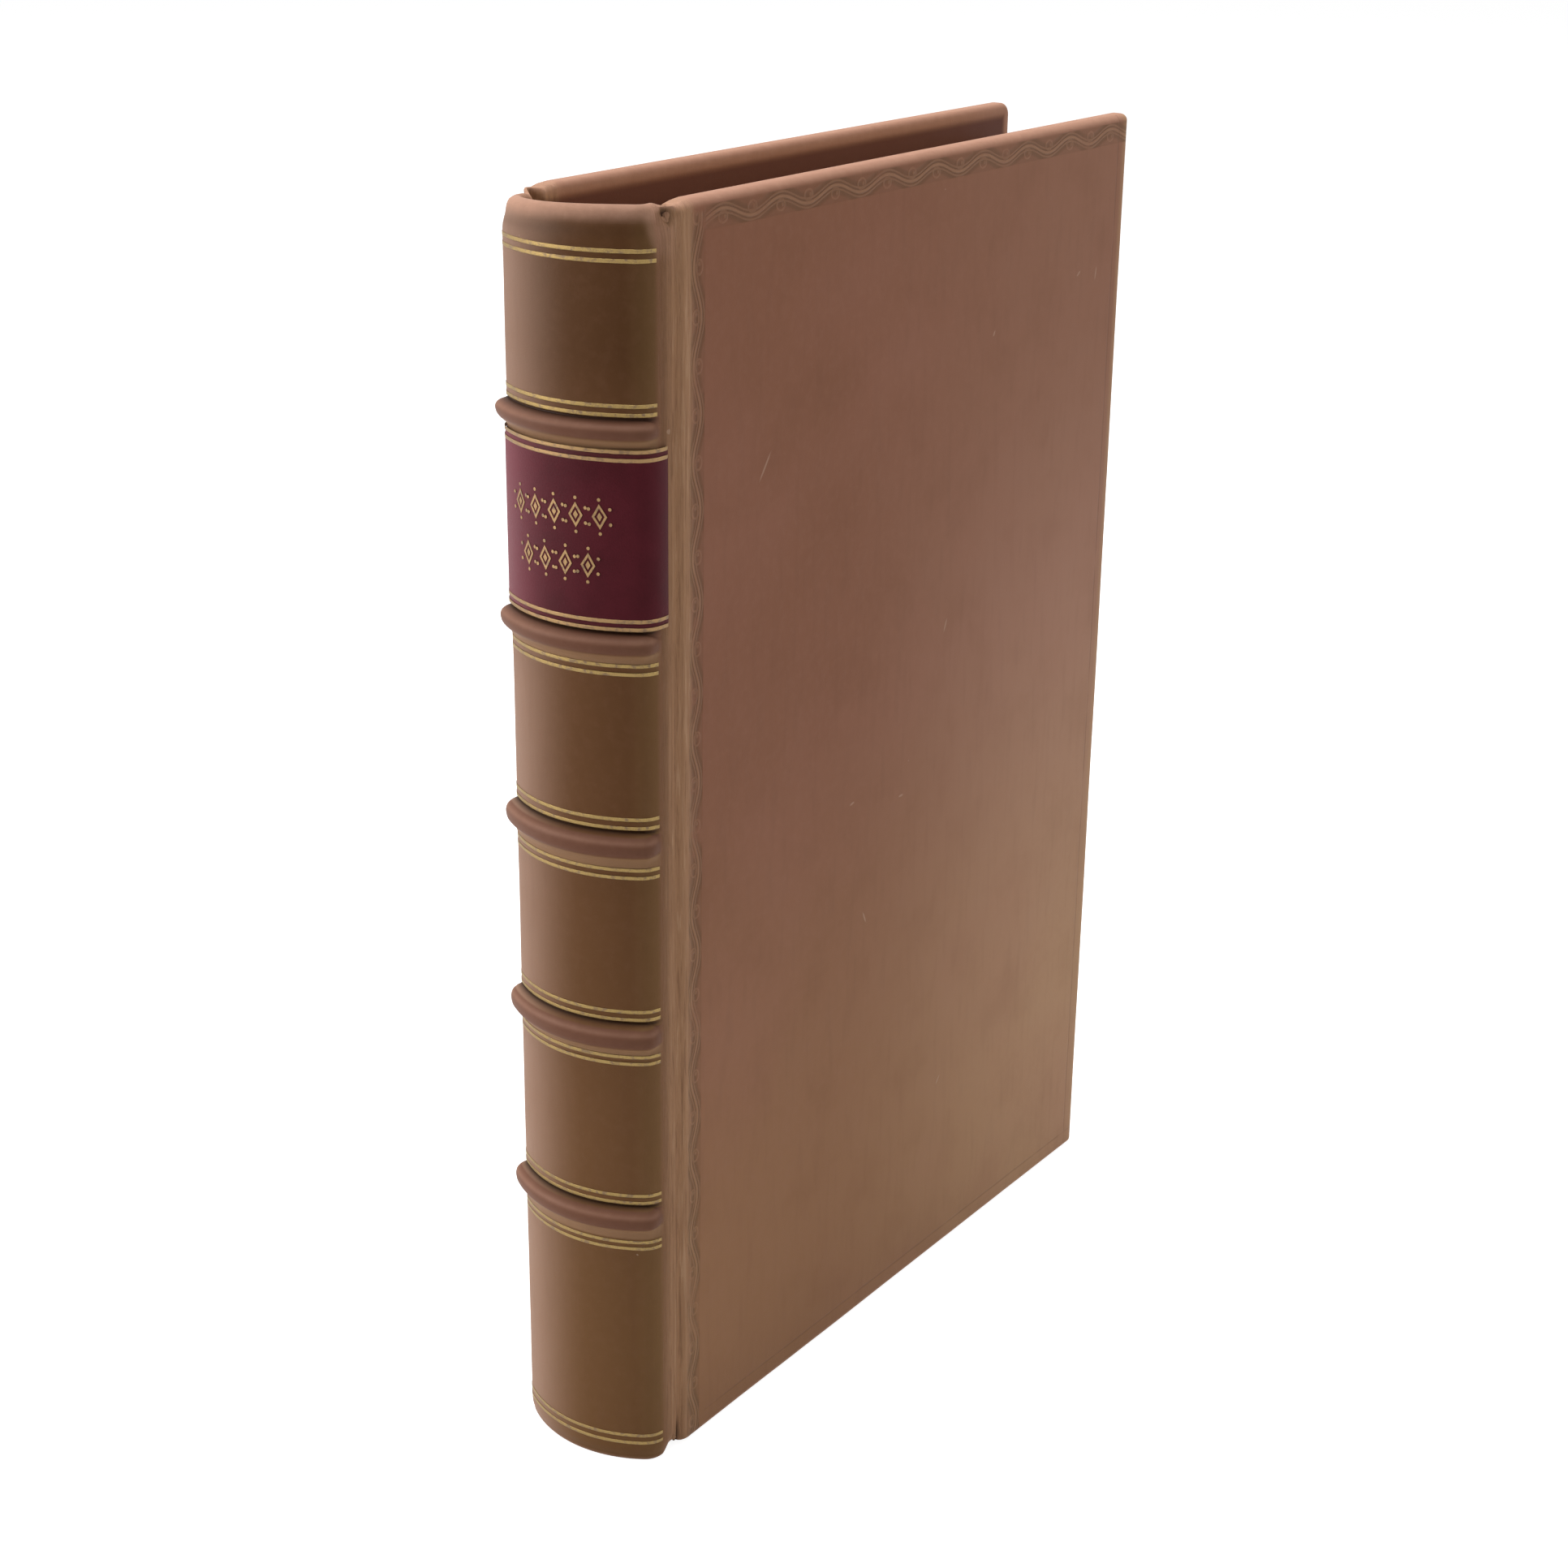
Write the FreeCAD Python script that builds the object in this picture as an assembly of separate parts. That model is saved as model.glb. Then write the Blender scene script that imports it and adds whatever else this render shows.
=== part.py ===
import FreeCAD, Part
import math
import os

# Antique octavo in full calf, standing on its tail.
# +Z is up, the spine faces -X and the front cover faces -Y.
# The origin is under the middle of the book's box, on the surface that it stands on.
# Lengths are millimetres.

# Covers
cover_height = 228.0
cover_width = 146.0
book_thickness = 31.4
board_thickness = 2.8
cover_leather = 0.7
turn_in_leather = 0.6
turn_in_width = 16.0
mitre_width = 0.25
mitre_depth = 0.3
mitre_overrun = 0.5
pastedown_thickness = 0.3
pastedown_margin = 7.0
corner_round = 2.2
outer_edge_round = 1.6
inner_edge_round = 1.1

# Joints between the spine and the covers
joint_strip = 4.0
joint_depth = 0.5
joint_shoulder_round = 2.2
joint_gap = 0.15
board_inset = 0.9
notch_depth = 4.4
notch_spine_side = 4.6
notch_board_side = 0.6
notch_foot = 1.0

# Spine
spine_round = 7.8
spine_corner_radius = 4.5
spine_leather = 0.9
spine_lining = 0.4
glue_gap = 0.05
spine_turn_in = 12.0
cap_reach = 3.2

# Raised bands over the sewing cords, the lowest and the pitch as shares of the covers' height
band_count = 5
lowest_band_share = 0.2206
band_pitch_share = 0.1559
cord_diameter = 2.4
cord_clearance = 0.1
band_foot_round = 0.7
band_end_angle = 48.0
band_tip_angle = 88.0
band_tip_radius = 1.0
band_tip_rise = 0.4

# Leaves
head_square = 6.8
tail_square = 5.6
fore_square = 4.0
fore_edge_hollow = 4.5
swing_gap = 0.3
shoulder_gap = 0.3
shoulder_slope = 0.2

# Endbands
endband_height = 3.8
endband_width = 2.0

# Cord ends laced into the boards
slip_run = 10.0
slip_width = 4.0
slip_thickness = 0.9
slip_plug_radius = 1.4

# Title label
label_leather = 0.45
label_band_gap = 0.2
label_overlap = 1.5

UP = FreeCAD.Vector(0, 0, 1)
ORIGIN = FreeCAD.Vector(0, 0, 0)

# Levels and half thicknesses, all measured from the middle plane of the book
outer_face = book_thickness / 2
board_outer = outer_face - cover_leather
board_inner = board_outer - board_thickness
turn_in_face = board_inner - turn_in_leather
cover_inner = turn_in_face - pastedown_thickness
leaves_half = cover_inner - swing_gap
joint_face = outer_face - joint_depth
page_head = cover_height - head_square
page_tail = tail_square

cord_radius = cord_diameter / 2
cord_depth = cord_radius + glue_gap - spine_leather - spine_lining
band_radius = cord_radius + spine_leather
channel_radius = cord_radius + cord_clearance
band_levels = [cover_height * (lowest_band_share + band_pitch_share * i) for i in range(band_count)]
foot_reach = math.sqrt((band_radius + band_foot_round) ** 2 - (band_foot_round - cord_depth) ** 2)

# The hinge line of the joints, placed so that the whole box is centred on the origin
spine_reach = joint_strip + spine_round + cord_depth + band_radius
joint_x = (spine_reach - cover_width) / 2
fore_x = joint_x + cover_width
arch_end_x = joint_x - joint_strip


def spine_arcs():
    """The spine's round in plan: a wide arc between two small ones that end square to the joints.

    Each arc is its centre, its radius and the angles where it starts and ends, from -X towards +Y.
    """
    rise = spine_round - spine_corner_radius
    run = joint_face - spine_corner_radius
    turn = 2 * math.atan2(rise, run)
    reach = run / math.sin(turn)
    wide_radius = reach + spine_corner_radius
    angle = math.degrees(turn)
    wide_centre = FreeCAD.Vector(arch_end_x - spine_round + wide_radius, 0, 0)
    front_centre = FreeCAD.Vector(arch_end_x, -run, 0)
    rear_centre = FreeCAD.Vector(arch_end_x, run, 0)
    return [
        (front_centre, spine_corner_radius, -90.0, -angle),
        (wide_centre, wide_radius, -angle, angle),
        (rear_centre, spine_corner_radius, angle, 90.0),
    ]


ARCS = spine_arcs()


def on_spine(arc, angle, depth, z=0.0):
    """The point at an angle of one arc, `depth` outside the leather's face."""
    centre, radius, _, _ = arc
    turn = math.radians(angle)
    reach = radius + depth
    return centre + FreeCAD.Vector(-reach * math.cos(turn), reach * math.sin(turn), z)


def outline_face(outline, place):
    """A face from (depth, z) points; a point marked "through" is the middle of an arc."""
    edges = []
    ring = outline + outline[:1]
    i = 0
    while i < len(ring) - 1:
        start = place(*ring[i][:2])
        if len(ring[i + 1]) == 3:
            end = place(*ring[i + 2][:2])
            edges.append(Part.Arc(start, place(*ring[i + 1][:2]), end).toShape())
            i += 2
        else:
            edges.append(Part.LineSegment(start, place(*ring[i + 1][:2])).toShape())
            i += 1
    return Part.Face(Part.Wire(edges))


def around_spine(outline, limit=90.0):
    """An outline carried round the spine, from -limit to +limit degrees."""
    spans = []
    for centre, radius, low, high in ARCS:
        low = max(low, -limit)
        high = min(high, limit)
        if high <= low:
            continue
        face = outline_face(outline, lambda depth, z: FreeCAD.Vector(-(radius + depth), 0, z))
        face.rotate(ORIGIN, UP, -low)
        span = face.revolve(ORIGIN, -UP, high - low)
        span.translate(centre)
        spans.append(span)
    return spans[0].multiFuse(spans[1:]).removeSplitter() if len(spans) > 1 else spans[0]


def block(x0, x1, y0, y1, z0, z1):
    """A box from its lowest to its highest corner."""
    return Part.makeBox(x1 - x0, y1 - y0, z1 - z0, FreeCAD.Vector(x0, y0, z0))


def mirrored(shape):
    """The same shape on the other side of the book's middle plane."""
    return shape.mirror(ORIGIN, FreeCAD.Vector(0, 1, 0))


def cap_outline(inner, cap):
    """The rolled end of the spine leather, as offsets from the end of the book.

    It runs from the outer face over the roll and back along its underside to the turned-in leather.
    """
    roll = cap / 2
    bend = roll * (1 - math.sqrt(0.5))
    return [
        (0, roll),
        (-bend, bend, "through"),
        (-roll, 0),
        (roll - cap_reach, 0),
        (-cap_reach, roll, "through"),
        (roll - cap_reach, cap),
        (inner, cap),
    ]


def spine_section():
    """The spine leather cut across: a wall with a rolled cap and a turned-in end at head and tail."""
    inner = glue_gap - spine_leather - spine_lining
    head_cap = head_square - endband_height - glue_gap
    tail_cap = tail_square - endband_height - glue_gap
    head_turn = page_head - spine_turn_in
    tail_turn = page_tail + spine_turn_in
    head = [(d, cover_height - z, *mark) for d, z, *mark in cap_outline(inner, head_cap)]
    tail = [(d, z, *mark) for d, z, *mark in reversed(cap_outline(inner, tail_cap))]
    face = -spine_leather
    wall = [(inner, head_turn), (face, head_turn), (face, tail_turn), (inner, tail_turn)]
    return head + wall + tail


def band_outline(z):
    """A raised band cut across: the leather over a cord, with a hollow foot on each side."""
    side = FreeCAD.Vector(band_foot_round, foot_reach, 0)
    crown = FreeCAD.Vector(cord_depth, 0, 0)
    inward = (crown - side).normalize()
    meet = side + inward * band_foot_round
    middle = side + (inward + FreeCAD.Vector(-1, 0, 0)).normalize() * band_foot_round
    foot = [
        (-spine_leather / 2, foot_reach),
        (0, foot_reach),
        (middle.x, middle.y, "through"),
        (meet.x, meet.y),
    ]
    low = [(depth, z - rise, *mark) for depth, rise, *mark in foot]
    high = [(depth, z + rise, *mark) for depth, rise, *mark in reversed(foot)]
    return low + [(cord_depth + band_radius, z, "through")] + high


def channel_outline(z):
    """The hollow under a raised band, which the cord fills."""
    root = -spine_leather - glue_gap
    return [
        (root, z - channel_radius),
        (cord_depth, z - channel_radius),
        (cord_depth + channel_radius, z, "through"),
        (cord_depth, z + channel_radius),
        (root, z + channel_radius),
    ]


def joint_notch():
    """The V cut out of the leather and the boards where the joint meets the head and the tail."""
    over = 1.0
    slope = over / notch_depth
    level = cover_height
    corners = [
        (joint_x - notch_foot, level - notch_depth),
        (joint_x + notch_board_side * (1 + slope), level + over),
        (joint_x - notch_spine_side * (1 + slope), level + over),
    ]
    points = [FreeCAD.Vector(x, leaves_half, z) for x, z in corners]
    face = Part.Face(Part.makePolygon(points + points[:1]))
    head = face.extrude(FreeCAD.Vector(0, outer_face, 0))
    middle = FreeCAD.Vector(0, 0, cover_height / 2)
    tail = head.mirror(middle, UP)
    return head.fuse(tail)


NOTCH = joint_notch()


def band_end(z):
    """The rear end of a raised band, which narrows over the shoulder and dies away at the joint."""
    arc = ARCS[2]
    tip_depth = band_tip_rise - band_tip_radius
    rings = []
    for angle, depth, radius in (
        (band_end_angle, cord_depth, band_radius),
        (band_tip_angle, tip_depth, band_tip_radius),
    ):
        turn = math.radians(angle)
        along = FreeCAD.Vector(math.sin(turn), math.cos(turn), 0)
        rings.append(Part.Wire(Part.makeCircle(radius, on_spine(arc, angle, depth, z), along)))
    tip = Part.makeSphere(band_tip_radius, on_spine(arc, band_tip_angle, tip_depth, z))
    inside = leaves_face(-spine_leather).extrude(UP * cover_height)
    return Part.makeLoft(rings, True, True).fuse(tip).cut(inside)


def make_spine_leather():
    """One skin over the back: wall, rolled caps, raised bands and the strips in the joints."""
    strip_end = joint_x - joint_gap
    strip = block(arch_end_x, strip_end, joint_face - spine_leather, joint_face, 0, cover_height)
    rear_parts = [strip] + [band_end(z) for z in band_levels]
    front_parts = [mirrored(shape) for shape in rear_parts]
    ridges = [around_spine(band_outline(z), band_end_angle) for z in band_levels]
    leather = around_spine(spine_section()).multiFuse(rear_parts + front_parts + ridges)
    channels = [around_spine(channel_outline(z), band_end_angle) for z in band_levels]
    leather = leather.cut(channels + [NOTCH, mirrored(NOTCH)])
    return largest(leather.removeSplitter())


def largest(shape):
    """The one solid of a cut that left crumbs, or the shape itself."""
    return max(shape.Solids, key=lambda solid: solid.Volume)


def leaves_face(back):
    """The leaves in plan: round back, shoulders that seat the boards, and a hollow fore-edge.

    The back lies that far outside the leather's face, so it is negative.
    """
    shoulder_y = joint_face + back
    shoulder_x = joint_x + board_inset - shoulder_gap - shoulder_slope
    foot_x = shoulder_x + shoulder_slope
    edge_x = fore_x - fore_square
    top = [
        FreeCAD.Vector(arch_end_x, shoulder_y, 0),
        FreeCAD.Vector(shoulder_x, shoulder_y, 0),
        FreeCAD.Vector(foot_x, leaves_half, 0),
        FreeCAD.Vector(edge_x, leaves_half, 0),
    ]
    bottom = [FreeCAD.Vector(p.x, -p.y, 0) for p in reversed(top)]
    hollow = FreeCAD.Vector(edge_x - fore_edge_hollow, 0, 0)
    edges = [Part.makeLine(a, b) for a, b in zip(top, top[1:])]
    edges.append(Part.Arc(top[-1], hollow, bottom[0]).toShape())
    edges += [Part.makeLine(a, b) for a, b in zip(bottom, bottom[1:])]
    for arc in ARCS:
        _, _, low, high = arc
        ends = [on_spine(arc, angle, back) for angle in (low, (low + high) / 2, high)]
        edges.append(Part.Arc(*ends).toShape())
    return Part.Face(Part.Wire(edges))


def make_text_block():
    """All the leaves as one solid, between the tail and the head square."""
    face = leaves_face(-(spine_leather + spine_lining))
    face.translate(FreeCAD.Vector(0, 0, page_tail))
    return face.extrude(FreeCAD.Vector(0, 0, page_head - page_tail))


def make_sewing_cord(z):
    """A cord across the back of the leaves, under its raised band."""
    ring = [
        (cord_depth - cord_radius, z),
        (cord_depth, z + cord_radius, "through"),
        (cord_depth + cord_radius, z),
        (cord_depth, z - cord_radius, "through"),
    ]
    return around_spine(ring, band_end_angle)


def make_spine_lining(z0, z1):
    """A strip of paper between the back of the leaves and the leather."""
    outer = -spine_leather - glue_gap
    inner = -spine_leather - spine_lining + glue_gap
    return around_spine([(inner, z0), (outer, z0), (outer, z1), (inner, z1)])


def make_endband(z0):
    """A worked endband on the edge of the leaves, with a rounded top."""
    outer = -(spine_leather + spine_lining + glue_gap)
    inner = outer - endband_width
    round_over = endband_width / 2
    z1 = z0 + endband_height
    _, wide_radius, _, _ = ARCS[1]
    limit = math.degrees(math.asin(leaves_half / (wide_radius + outer)))
    section = [
        (outer, z0),
        (outer, z1 - round_over),
        ((outer + inner) / 2, z1, "through"),
        (inner, z1 - round_over),
        (inner, z0),
    ]
    return around_spine(section, limit)


def make_title_label():
    """Thin leather from joint to joint between the two highest bands."""
    low = band_levels[-2] + foot_reach + label_band_gap
    high = band_levels[-1] - foot_reach - label_band_gap
    outer = glue_gap + label_leather
    arch = around_spine([(glue_gap, low), (outer, low), (outer, high), (glue_gap, high)])
    y0 = joint_face + glue_gap
    wing = block(arch_end_x, arch_end_x + label_overlap, y0, y0 + label_leather, low, high)
    return arch.multiFuse([wing, mirrored(wing)]).removeSplitter()


def rounded_slab(x0, x1, y_inner, y_outer, margin, corner, outer_round, inner_round):
    """A cover-shaped slab, its corners and edges rounded on all sides but the joint."""
    tiny = 1e-4
    slab = block(x0, x1, y_inner, y_outer, margin, cover_height - margin)
    boxes = [(edge, edge.BoundBox) for edge in slab.Edges]
    corners = [edge for edge, box in boxes if box.XMin > x1 - tiny and box.YLength > tiny]
    slab = slab.makeFillet(corner, corners)
    for level, radius in ((y_outer, outer_round), (y_inner, inner_round)):
        boxes = [(edge, edge.BoundBox) for edge in slab.Edges]
        flat = [(edge, box) for edge, box in boxes if abs(box.YMin - level) + box.YLength < tiny]
        slab = slab.makeFillet(radius, [edge for edge, box in flat if box.XMax > x0 + tiny])
    return slab


def board_core():
    """The rear millboard before it is slotted."""
    corner = corner_round - cover_leather
    outer_round = outer_edge_round - cover_leather
    inner_round = inner_edge_round - turn_in_leather
    x0 = joint_x + board_inset
    x1 = fore_x - cover_leather
    return rounded_slab(
        x0, x1, board_inner, board_outer, cover_leather, corner, outer_round, inner_round,
    )


def make_board():
    """The millboard of the rear cover, slotted and pierced for the laced cords."""
    return board_core().cut([slip_shape(z, glue_gap) for z in band_levels] + [NOTCH])


def slip_shape(z, clearance):
    """A cord end pasted into a slot of the board and led through it, or with clearance, its slot."""
    x0 = joint_x + board_inset
    x1 = x0 + slip_run
    half = slip_width / 2 + clearance
    y0 = board_outer - slip_thickness - clearance
    along = FreeCAD.Vector(0, 1, 0)
    run = block(x0, x1, y0, board_outer, z - half, z + half)
    tip = Part.makeCylinder(half, board_outer - y0, FreeCAD.Vector(x1, y0, z), along)
    foot = FreeCAD.Vector(x1, board_inner, z)
    depth = y0 - board_inner + clearance
    plug = Part.makeCylinder(slip_plug_radius + clearance, depth, foot, along)
    return run.multiFuse([tip, plug]).removeSplitter()


def window(margin, y0, y1):
    """The space inside the turned-in leather on the inner face of the rear cover."""
    x0 = joint_x
    x1 = fore_x - turn_in_width - margin
    return block(x0, x1, y0, y1, turn_in_width + margin, cover_height - turn_in_width - margin)


def make_cover_leather():
    """The leather of the rear cover: over the outside, round three edges and in over the board."""
    lip_x = joint_x + joint_gap
    rise = math.sqrt(2 * joint_shoulder_round * joint_depth - joint_depth ** 2)
    centre = (lip_x + rise, outer_face - joint_shoulder_round)
    half_turn = math.asin(rise / joint_shoulder_round) / 2
    middle = (
        centre[0] - joint_shoulder_round * math.sin(half_turn),
        centre[1] + joint_shoulder_round * math.cos(half_turn),
    )
    board_x = joint_x + board_inset
    outline = [
        (lip_x, joint_face - spine_leather),
        (lip_x, joint_face),
        (*middle, "through"),
        (centre[0], outer_face),
        (fore_x, outer_face),
        (fore_x, turn_in_face),
        (board_x, turn_in_face),
        (board_x, joint_face - spine_leather),
    ]
    plan = outline_face(outline, lambda x, y: FreeCAD.Vector(x, y, 0))
    skin = rounded_slab(
        joint_x, fore_x, turn_in_face, outer_face, 0.0,
        corner_round, outer_edge_round, inner_edge_round,
    )
    skin = skin.common(plan.extrude(FreeCAD.Vector(0, 0, cover_height)))
    cuts = [board_core(), window(0, turn_in_face - mitre_depth, board_inner + glue_gap), NOTCH]
    return largest(skin.cut(cuts + mitres()).removeSplitter())


def mitres():
    """The seams where the turned-in leather of two edges meets at a fore-edge corner."""
    length = (turn_in_width + mitre_overrun) * math.sqrt(2)
    half = mitre_width / 2
    deep = turn_in_face + mitre_depth
    clear = turn_in_face - mitre_depth
    cuts = []
    for z, turn in ((0.0, -135.0), (cover_height, 135.0)):
        seam = block(0, length, clear, deep, -half, half)
        seam.rotate(ORIGIN, FreeCAD.Vector(0, 1, 0), turn)
        seam.translate(FreeCAD.Vector(fore_x, 0, z))
        cuts.append(seam)
    return cuts


def make_pastedown():
    """The endpaper inside the rear cover, which steps down from the turned-in leather to the board."""
    x0 = joint_x + board_inset
    x1 = fore_x - pastedown_margin
    sheet = block(x0, x1, cover_inner, turn_in_face, pastedown_margin, cover_height - pastedown_margin)
    past_joint = block(x0, x1, cover_inner, board_inner, 0, cover_height)
    well = window(0, cover_inner, board_inner).common(past_joint)
    hollow = window(pastedown_thickness, cover_inner - glue_gap, board_inner - pastedown_thickness)
    return sheet.fuse(well).cut(hollow).removeSplitter()


def save(name, shape):
    if not shape.isValid():
        raise ValueError(name + " is not valid")
    shape.exportStep(os.path.join("parts", name + ".step"))
    print(name, "solids", len(shape.Solids), "volume", round(shape.Volume, 1))


def main():
    os.makedirs("parts", exist_ok=True)
    save("text_block", make_text_block())
    save("spine_leather", make_spine_leather())
    save("title_label", make_title_label())
    save("head_endband", make_endband(page_head))
    tail_endband = make_endband(-page_tail).mirror(ORIGIN, UP)
    save("tail_endband", tail_endband)

    for i, z in enumerate(band_levels):
        save(f"sewing_cord_{i + 1}", make_sewing_cord(z))
    lows = [page_tail + spine_turn_in] + [z + channel_radius + glue_gap for z in band_levels]
    highs = [z - channel_radius - glue_gap for z in band_levels] + [page_head - spine_turn_in]
    for i, (z0, z1) in enumerate(zip(lows, highs)):
        save(f"spine_lining_{i + 1}", make_spine_lining(z0, z1))

    rear = {
        "board": make_board(),
        "cover_leather": make_cover_leather(),
        "pastedown": make_pastedown(),
    }
    for i, z in enumerate(band_levels):
        rear[f"slip_{i + 1}"] = slip_shape(z, 0.0)
    for name, shape in rear.items():
        save("rear_" + name, shape)
        save("front_" + name, mirrored(shape))


main()
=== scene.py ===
import math
import bpy
import bmesh
import numpy as np
from mathutils import Matrix, Vector, noise


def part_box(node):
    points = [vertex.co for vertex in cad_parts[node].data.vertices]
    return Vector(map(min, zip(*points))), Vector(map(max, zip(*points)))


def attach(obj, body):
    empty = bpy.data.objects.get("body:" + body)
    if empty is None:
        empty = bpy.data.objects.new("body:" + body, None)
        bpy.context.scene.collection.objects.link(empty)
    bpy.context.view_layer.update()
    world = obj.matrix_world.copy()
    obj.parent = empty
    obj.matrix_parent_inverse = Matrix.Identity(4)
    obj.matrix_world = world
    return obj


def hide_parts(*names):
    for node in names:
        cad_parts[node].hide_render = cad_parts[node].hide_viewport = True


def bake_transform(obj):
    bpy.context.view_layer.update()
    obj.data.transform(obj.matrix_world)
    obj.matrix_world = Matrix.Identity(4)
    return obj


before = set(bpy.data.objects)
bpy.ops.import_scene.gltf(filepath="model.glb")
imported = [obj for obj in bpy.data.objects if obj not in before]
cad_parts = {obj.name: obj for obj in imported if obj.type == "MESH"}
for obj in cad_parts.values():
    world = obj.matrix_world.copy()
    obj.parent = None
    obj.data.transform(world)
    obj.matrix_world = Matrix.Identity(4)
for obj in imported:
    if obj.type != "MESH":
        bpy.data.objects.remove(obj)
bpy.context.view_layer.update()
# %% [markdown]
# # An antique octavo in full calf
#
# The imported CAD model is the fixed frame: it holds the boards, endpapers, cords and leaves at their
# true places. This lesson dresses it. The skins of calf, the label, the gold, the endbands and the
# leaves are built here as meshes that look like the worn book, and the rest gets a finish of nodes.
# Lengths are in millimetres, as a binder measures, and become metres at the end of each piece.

MM = 0.001


def box_mm(node):
    """Lowest and highest corner of a CAD node, in millimetres."""
    low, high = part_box(node)
    return np.array(low) / MM, np.array(high) / MM


hinge_gap = 0.15
joint_step = 0.5
joint_width = 4.0
cover_low, cover_high = box_mm("rear_cover_leather")
turn_in_face = cover_low[1]
fore_x, outer_face, height = cover_high
joint_x = cover_low[0] - hinge_gap
joint_face = outer_face - joint_step
crease_x = joint_x - joint_width
print(f"height {height:.1f} mm, thickness {2 * outer_face:.1f} mm, hinge line at x {joint_x:.2f} mm")

# %% [markdown]
# ## The round of the spine
#
# A binder hammers the back of the leaves round before the covers go on. From above it is a wide arc
# between two tight ones that meet the joints squarely. Every piece on the spine follows that line,
# so it is worked out once, as stations at even steps along it. A point is then a station, a depth
# outside the leather's plain face, and a height.

# %% Stations round the spine
spine_round = 7.8
spine_corner = 4.5
band_levels = [float(np.mean([corner[2] for corner in box_mm(f"sewing_cord_{i}")])) for i in range(1, 6)]
band_pitch = (band_levels[4] - band_levels[0]) / 4


def spine_stations(count):
    """Evenly spaced stations from the front joint to the rear one: centre x, centre y, radius, angle."""
    run = joint_face - spine_corner
    turn = 2 * math.atan2(spine_round - spine_corner, run)
    wide = run / math.sin(turn) + spine_corner
    angle = math.degrees(turn)
    arcs = [
        (crease_x, -run, spine_corner, -90.0, -angle),
        (crease_x - spine_round + wide, 0.0, wide, -angle, angle),
        (crease_x, run, spine_corner, angle, 90.0),
    ]
    lengths = [r * math.radians(b - a) for x, y, r, a, b in arcs]
    found = []
    for step in np.linspace(0.0, sum(lengths), count):
        for (x, y, r, a, b), length in zip(arcs, lengths):
            if step <= length + 1e-9:
                break
            step -= length
        else:
            step = length
        found.append((x, y, r, a + math.degrees(step / r)))
    return np.array(found)


def on_spine(stations, depth, z):
    """Points at a depth outside the leather's plain face, one row for each station."""
    cx, cy, r, angle = stations.T
    turn = np.radians(angle)
    reach = r + depth
    return np.stack([cx - reach * np.cos(turn), cy + reach * np.sin(turn), np.broadcast_to(z, reach.shape)], -1)


stations = spine_stations(109)
arch = np.linalg.norm(np.diff(on_spine(stations, 0.0, 0.0), axis=0), axis=1).sum()
print(f"the leather runs {arch:.1f} mm round the back, from the joints at x {crease_x:.1f} mm")

# %% [markdown]
# ## From points to a closed skin
#
# Leather has a thickness, so each skin becomes a closed shell: a sheet of points is copied inwards
# along its normals and the two are joined round the rim. Blender's Solidify does the same, but here
# the thickness changes, because a binder pares leather thin where it bends. Each point keeps notes
# for the finish: its place at rest, how worn it is together with how much painted highlight it gets,
# and how deep in a crease it lies, where the finish paints shade. The finish reads the place from that
# note, so the pattern stays on the leather when a cover opens.

# %% Helpers that build a mesh and keep its notes


def add_object(name, data):
    """A new object at the origin, linked to the scene."""
    made = bpy.data.objects.new(name, data)
    bpy.context.scene.collection.objects.link(made)
    return made


def mesh_piece(name, points, faces, notes, sharp=40.0):
    """A mesh object from points in millimetres, with smooth faces and sharp corners kept."""
    mesh = bpy.data.meshes.new(name)
    mesh.from_pydata([tuple(p) for p in np.asarray(points) * MM], [], faces)
    mesh.validate()
    for note, values in notes.items():
        is_place = np.ndim(values) == 2
        values = np.asarray(values if is_place else np.clip(values, 0.0, 1.0), np.float32)
        attribute = mesh.attributes.new(note, "FLOAT_VECTOR" if is_place else "FLOAT", "POINT")
        attribute.data.foreach_set("vector" if is_place else "value", values.ravel())
    mesh.shade_smooth()
    mesh.set_sharp_from_angle(angle=math.radians(sharp))
    return add_object(name, mesh)


def grid_faces(count, size, closed=False):
    """Faces between rows of points. Closed rows make a tube, which gets an end at each side."""
    faces = []
    for row in range(0, (count - 1) * size, size):
        for i in range(size if closed else size - 1):
            k = (i + 1) % size
            faces.append((row + i, row + k, row + size + k, row + size + i))
    if closed:
        faces.append(tuple(reversed(range(size))))
        faces.append(tuple(range((count - 1) * size, count * size)))
    return faces


def turned_over(faces):
    return [tuple(reversed(face)) for face in faces]


def facing(points, faces, probe, way):
    """The faces, all turned over if the one of that number looks against the way."""
    a, b, c = (points[i] for i in faces[probe][:3])
    return turned_over(faces) if np.dot(np.cross(b - a, c - a), way) < 0 else faces


def point_normals(points, faces):
    """Normals at the points of a sheet, from the faces around each."""
    normals = np.zeros_like(points)
    for size in sorted({len(f) for f in faces}):
        group = np.array([f for f in faces if len(f) == size])
        a, b, c, d = (points[group[:, i]] for i in (0, 1, 2, size - 1))
        across = np.cross(c - a, d - b) if size == 4 else np.cross(b - a, c - a)
        for i in range(size):
            np.add.at(normals, group[:, i], across)
    return normals / np.maximum(np.linalg.norm(normals, axis=1, keepdims=True), 1e-12)


def thicken(points, faces, thickness):
    """A closed shell: the sheet, its copy inwards, and a rim between them."""
    count = len(points)
    inner = points - point_normals(points, faces) * np.reshape(thickness, (-1, 1))
    edges = {(a, b): True for face in faces for a, b in zip(face, face[1:] + face[:1])}
    rim = [(b, a, a + count, b + count) for a, b in edges if (b, a) not in edges]
    inside = [tuple(i + count for i in face) for face in turned_over(faces)]
    return np.vstack([points, inner]), faces + inside + rim


def ease(value, low, high):
    """0 below low, 1 above high, and a smooth step between."""
    t = np.clip((np.asarray(value, float) - low) / (high - low), 0.0, 1.0)
    return t * t * (3 - 2 * t)


def bump(value, middle, width):
    """1 in the middle, with a soft fall to both sides."""
    return np.exp(-(((value - middle) / width) ** 2))


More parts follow.
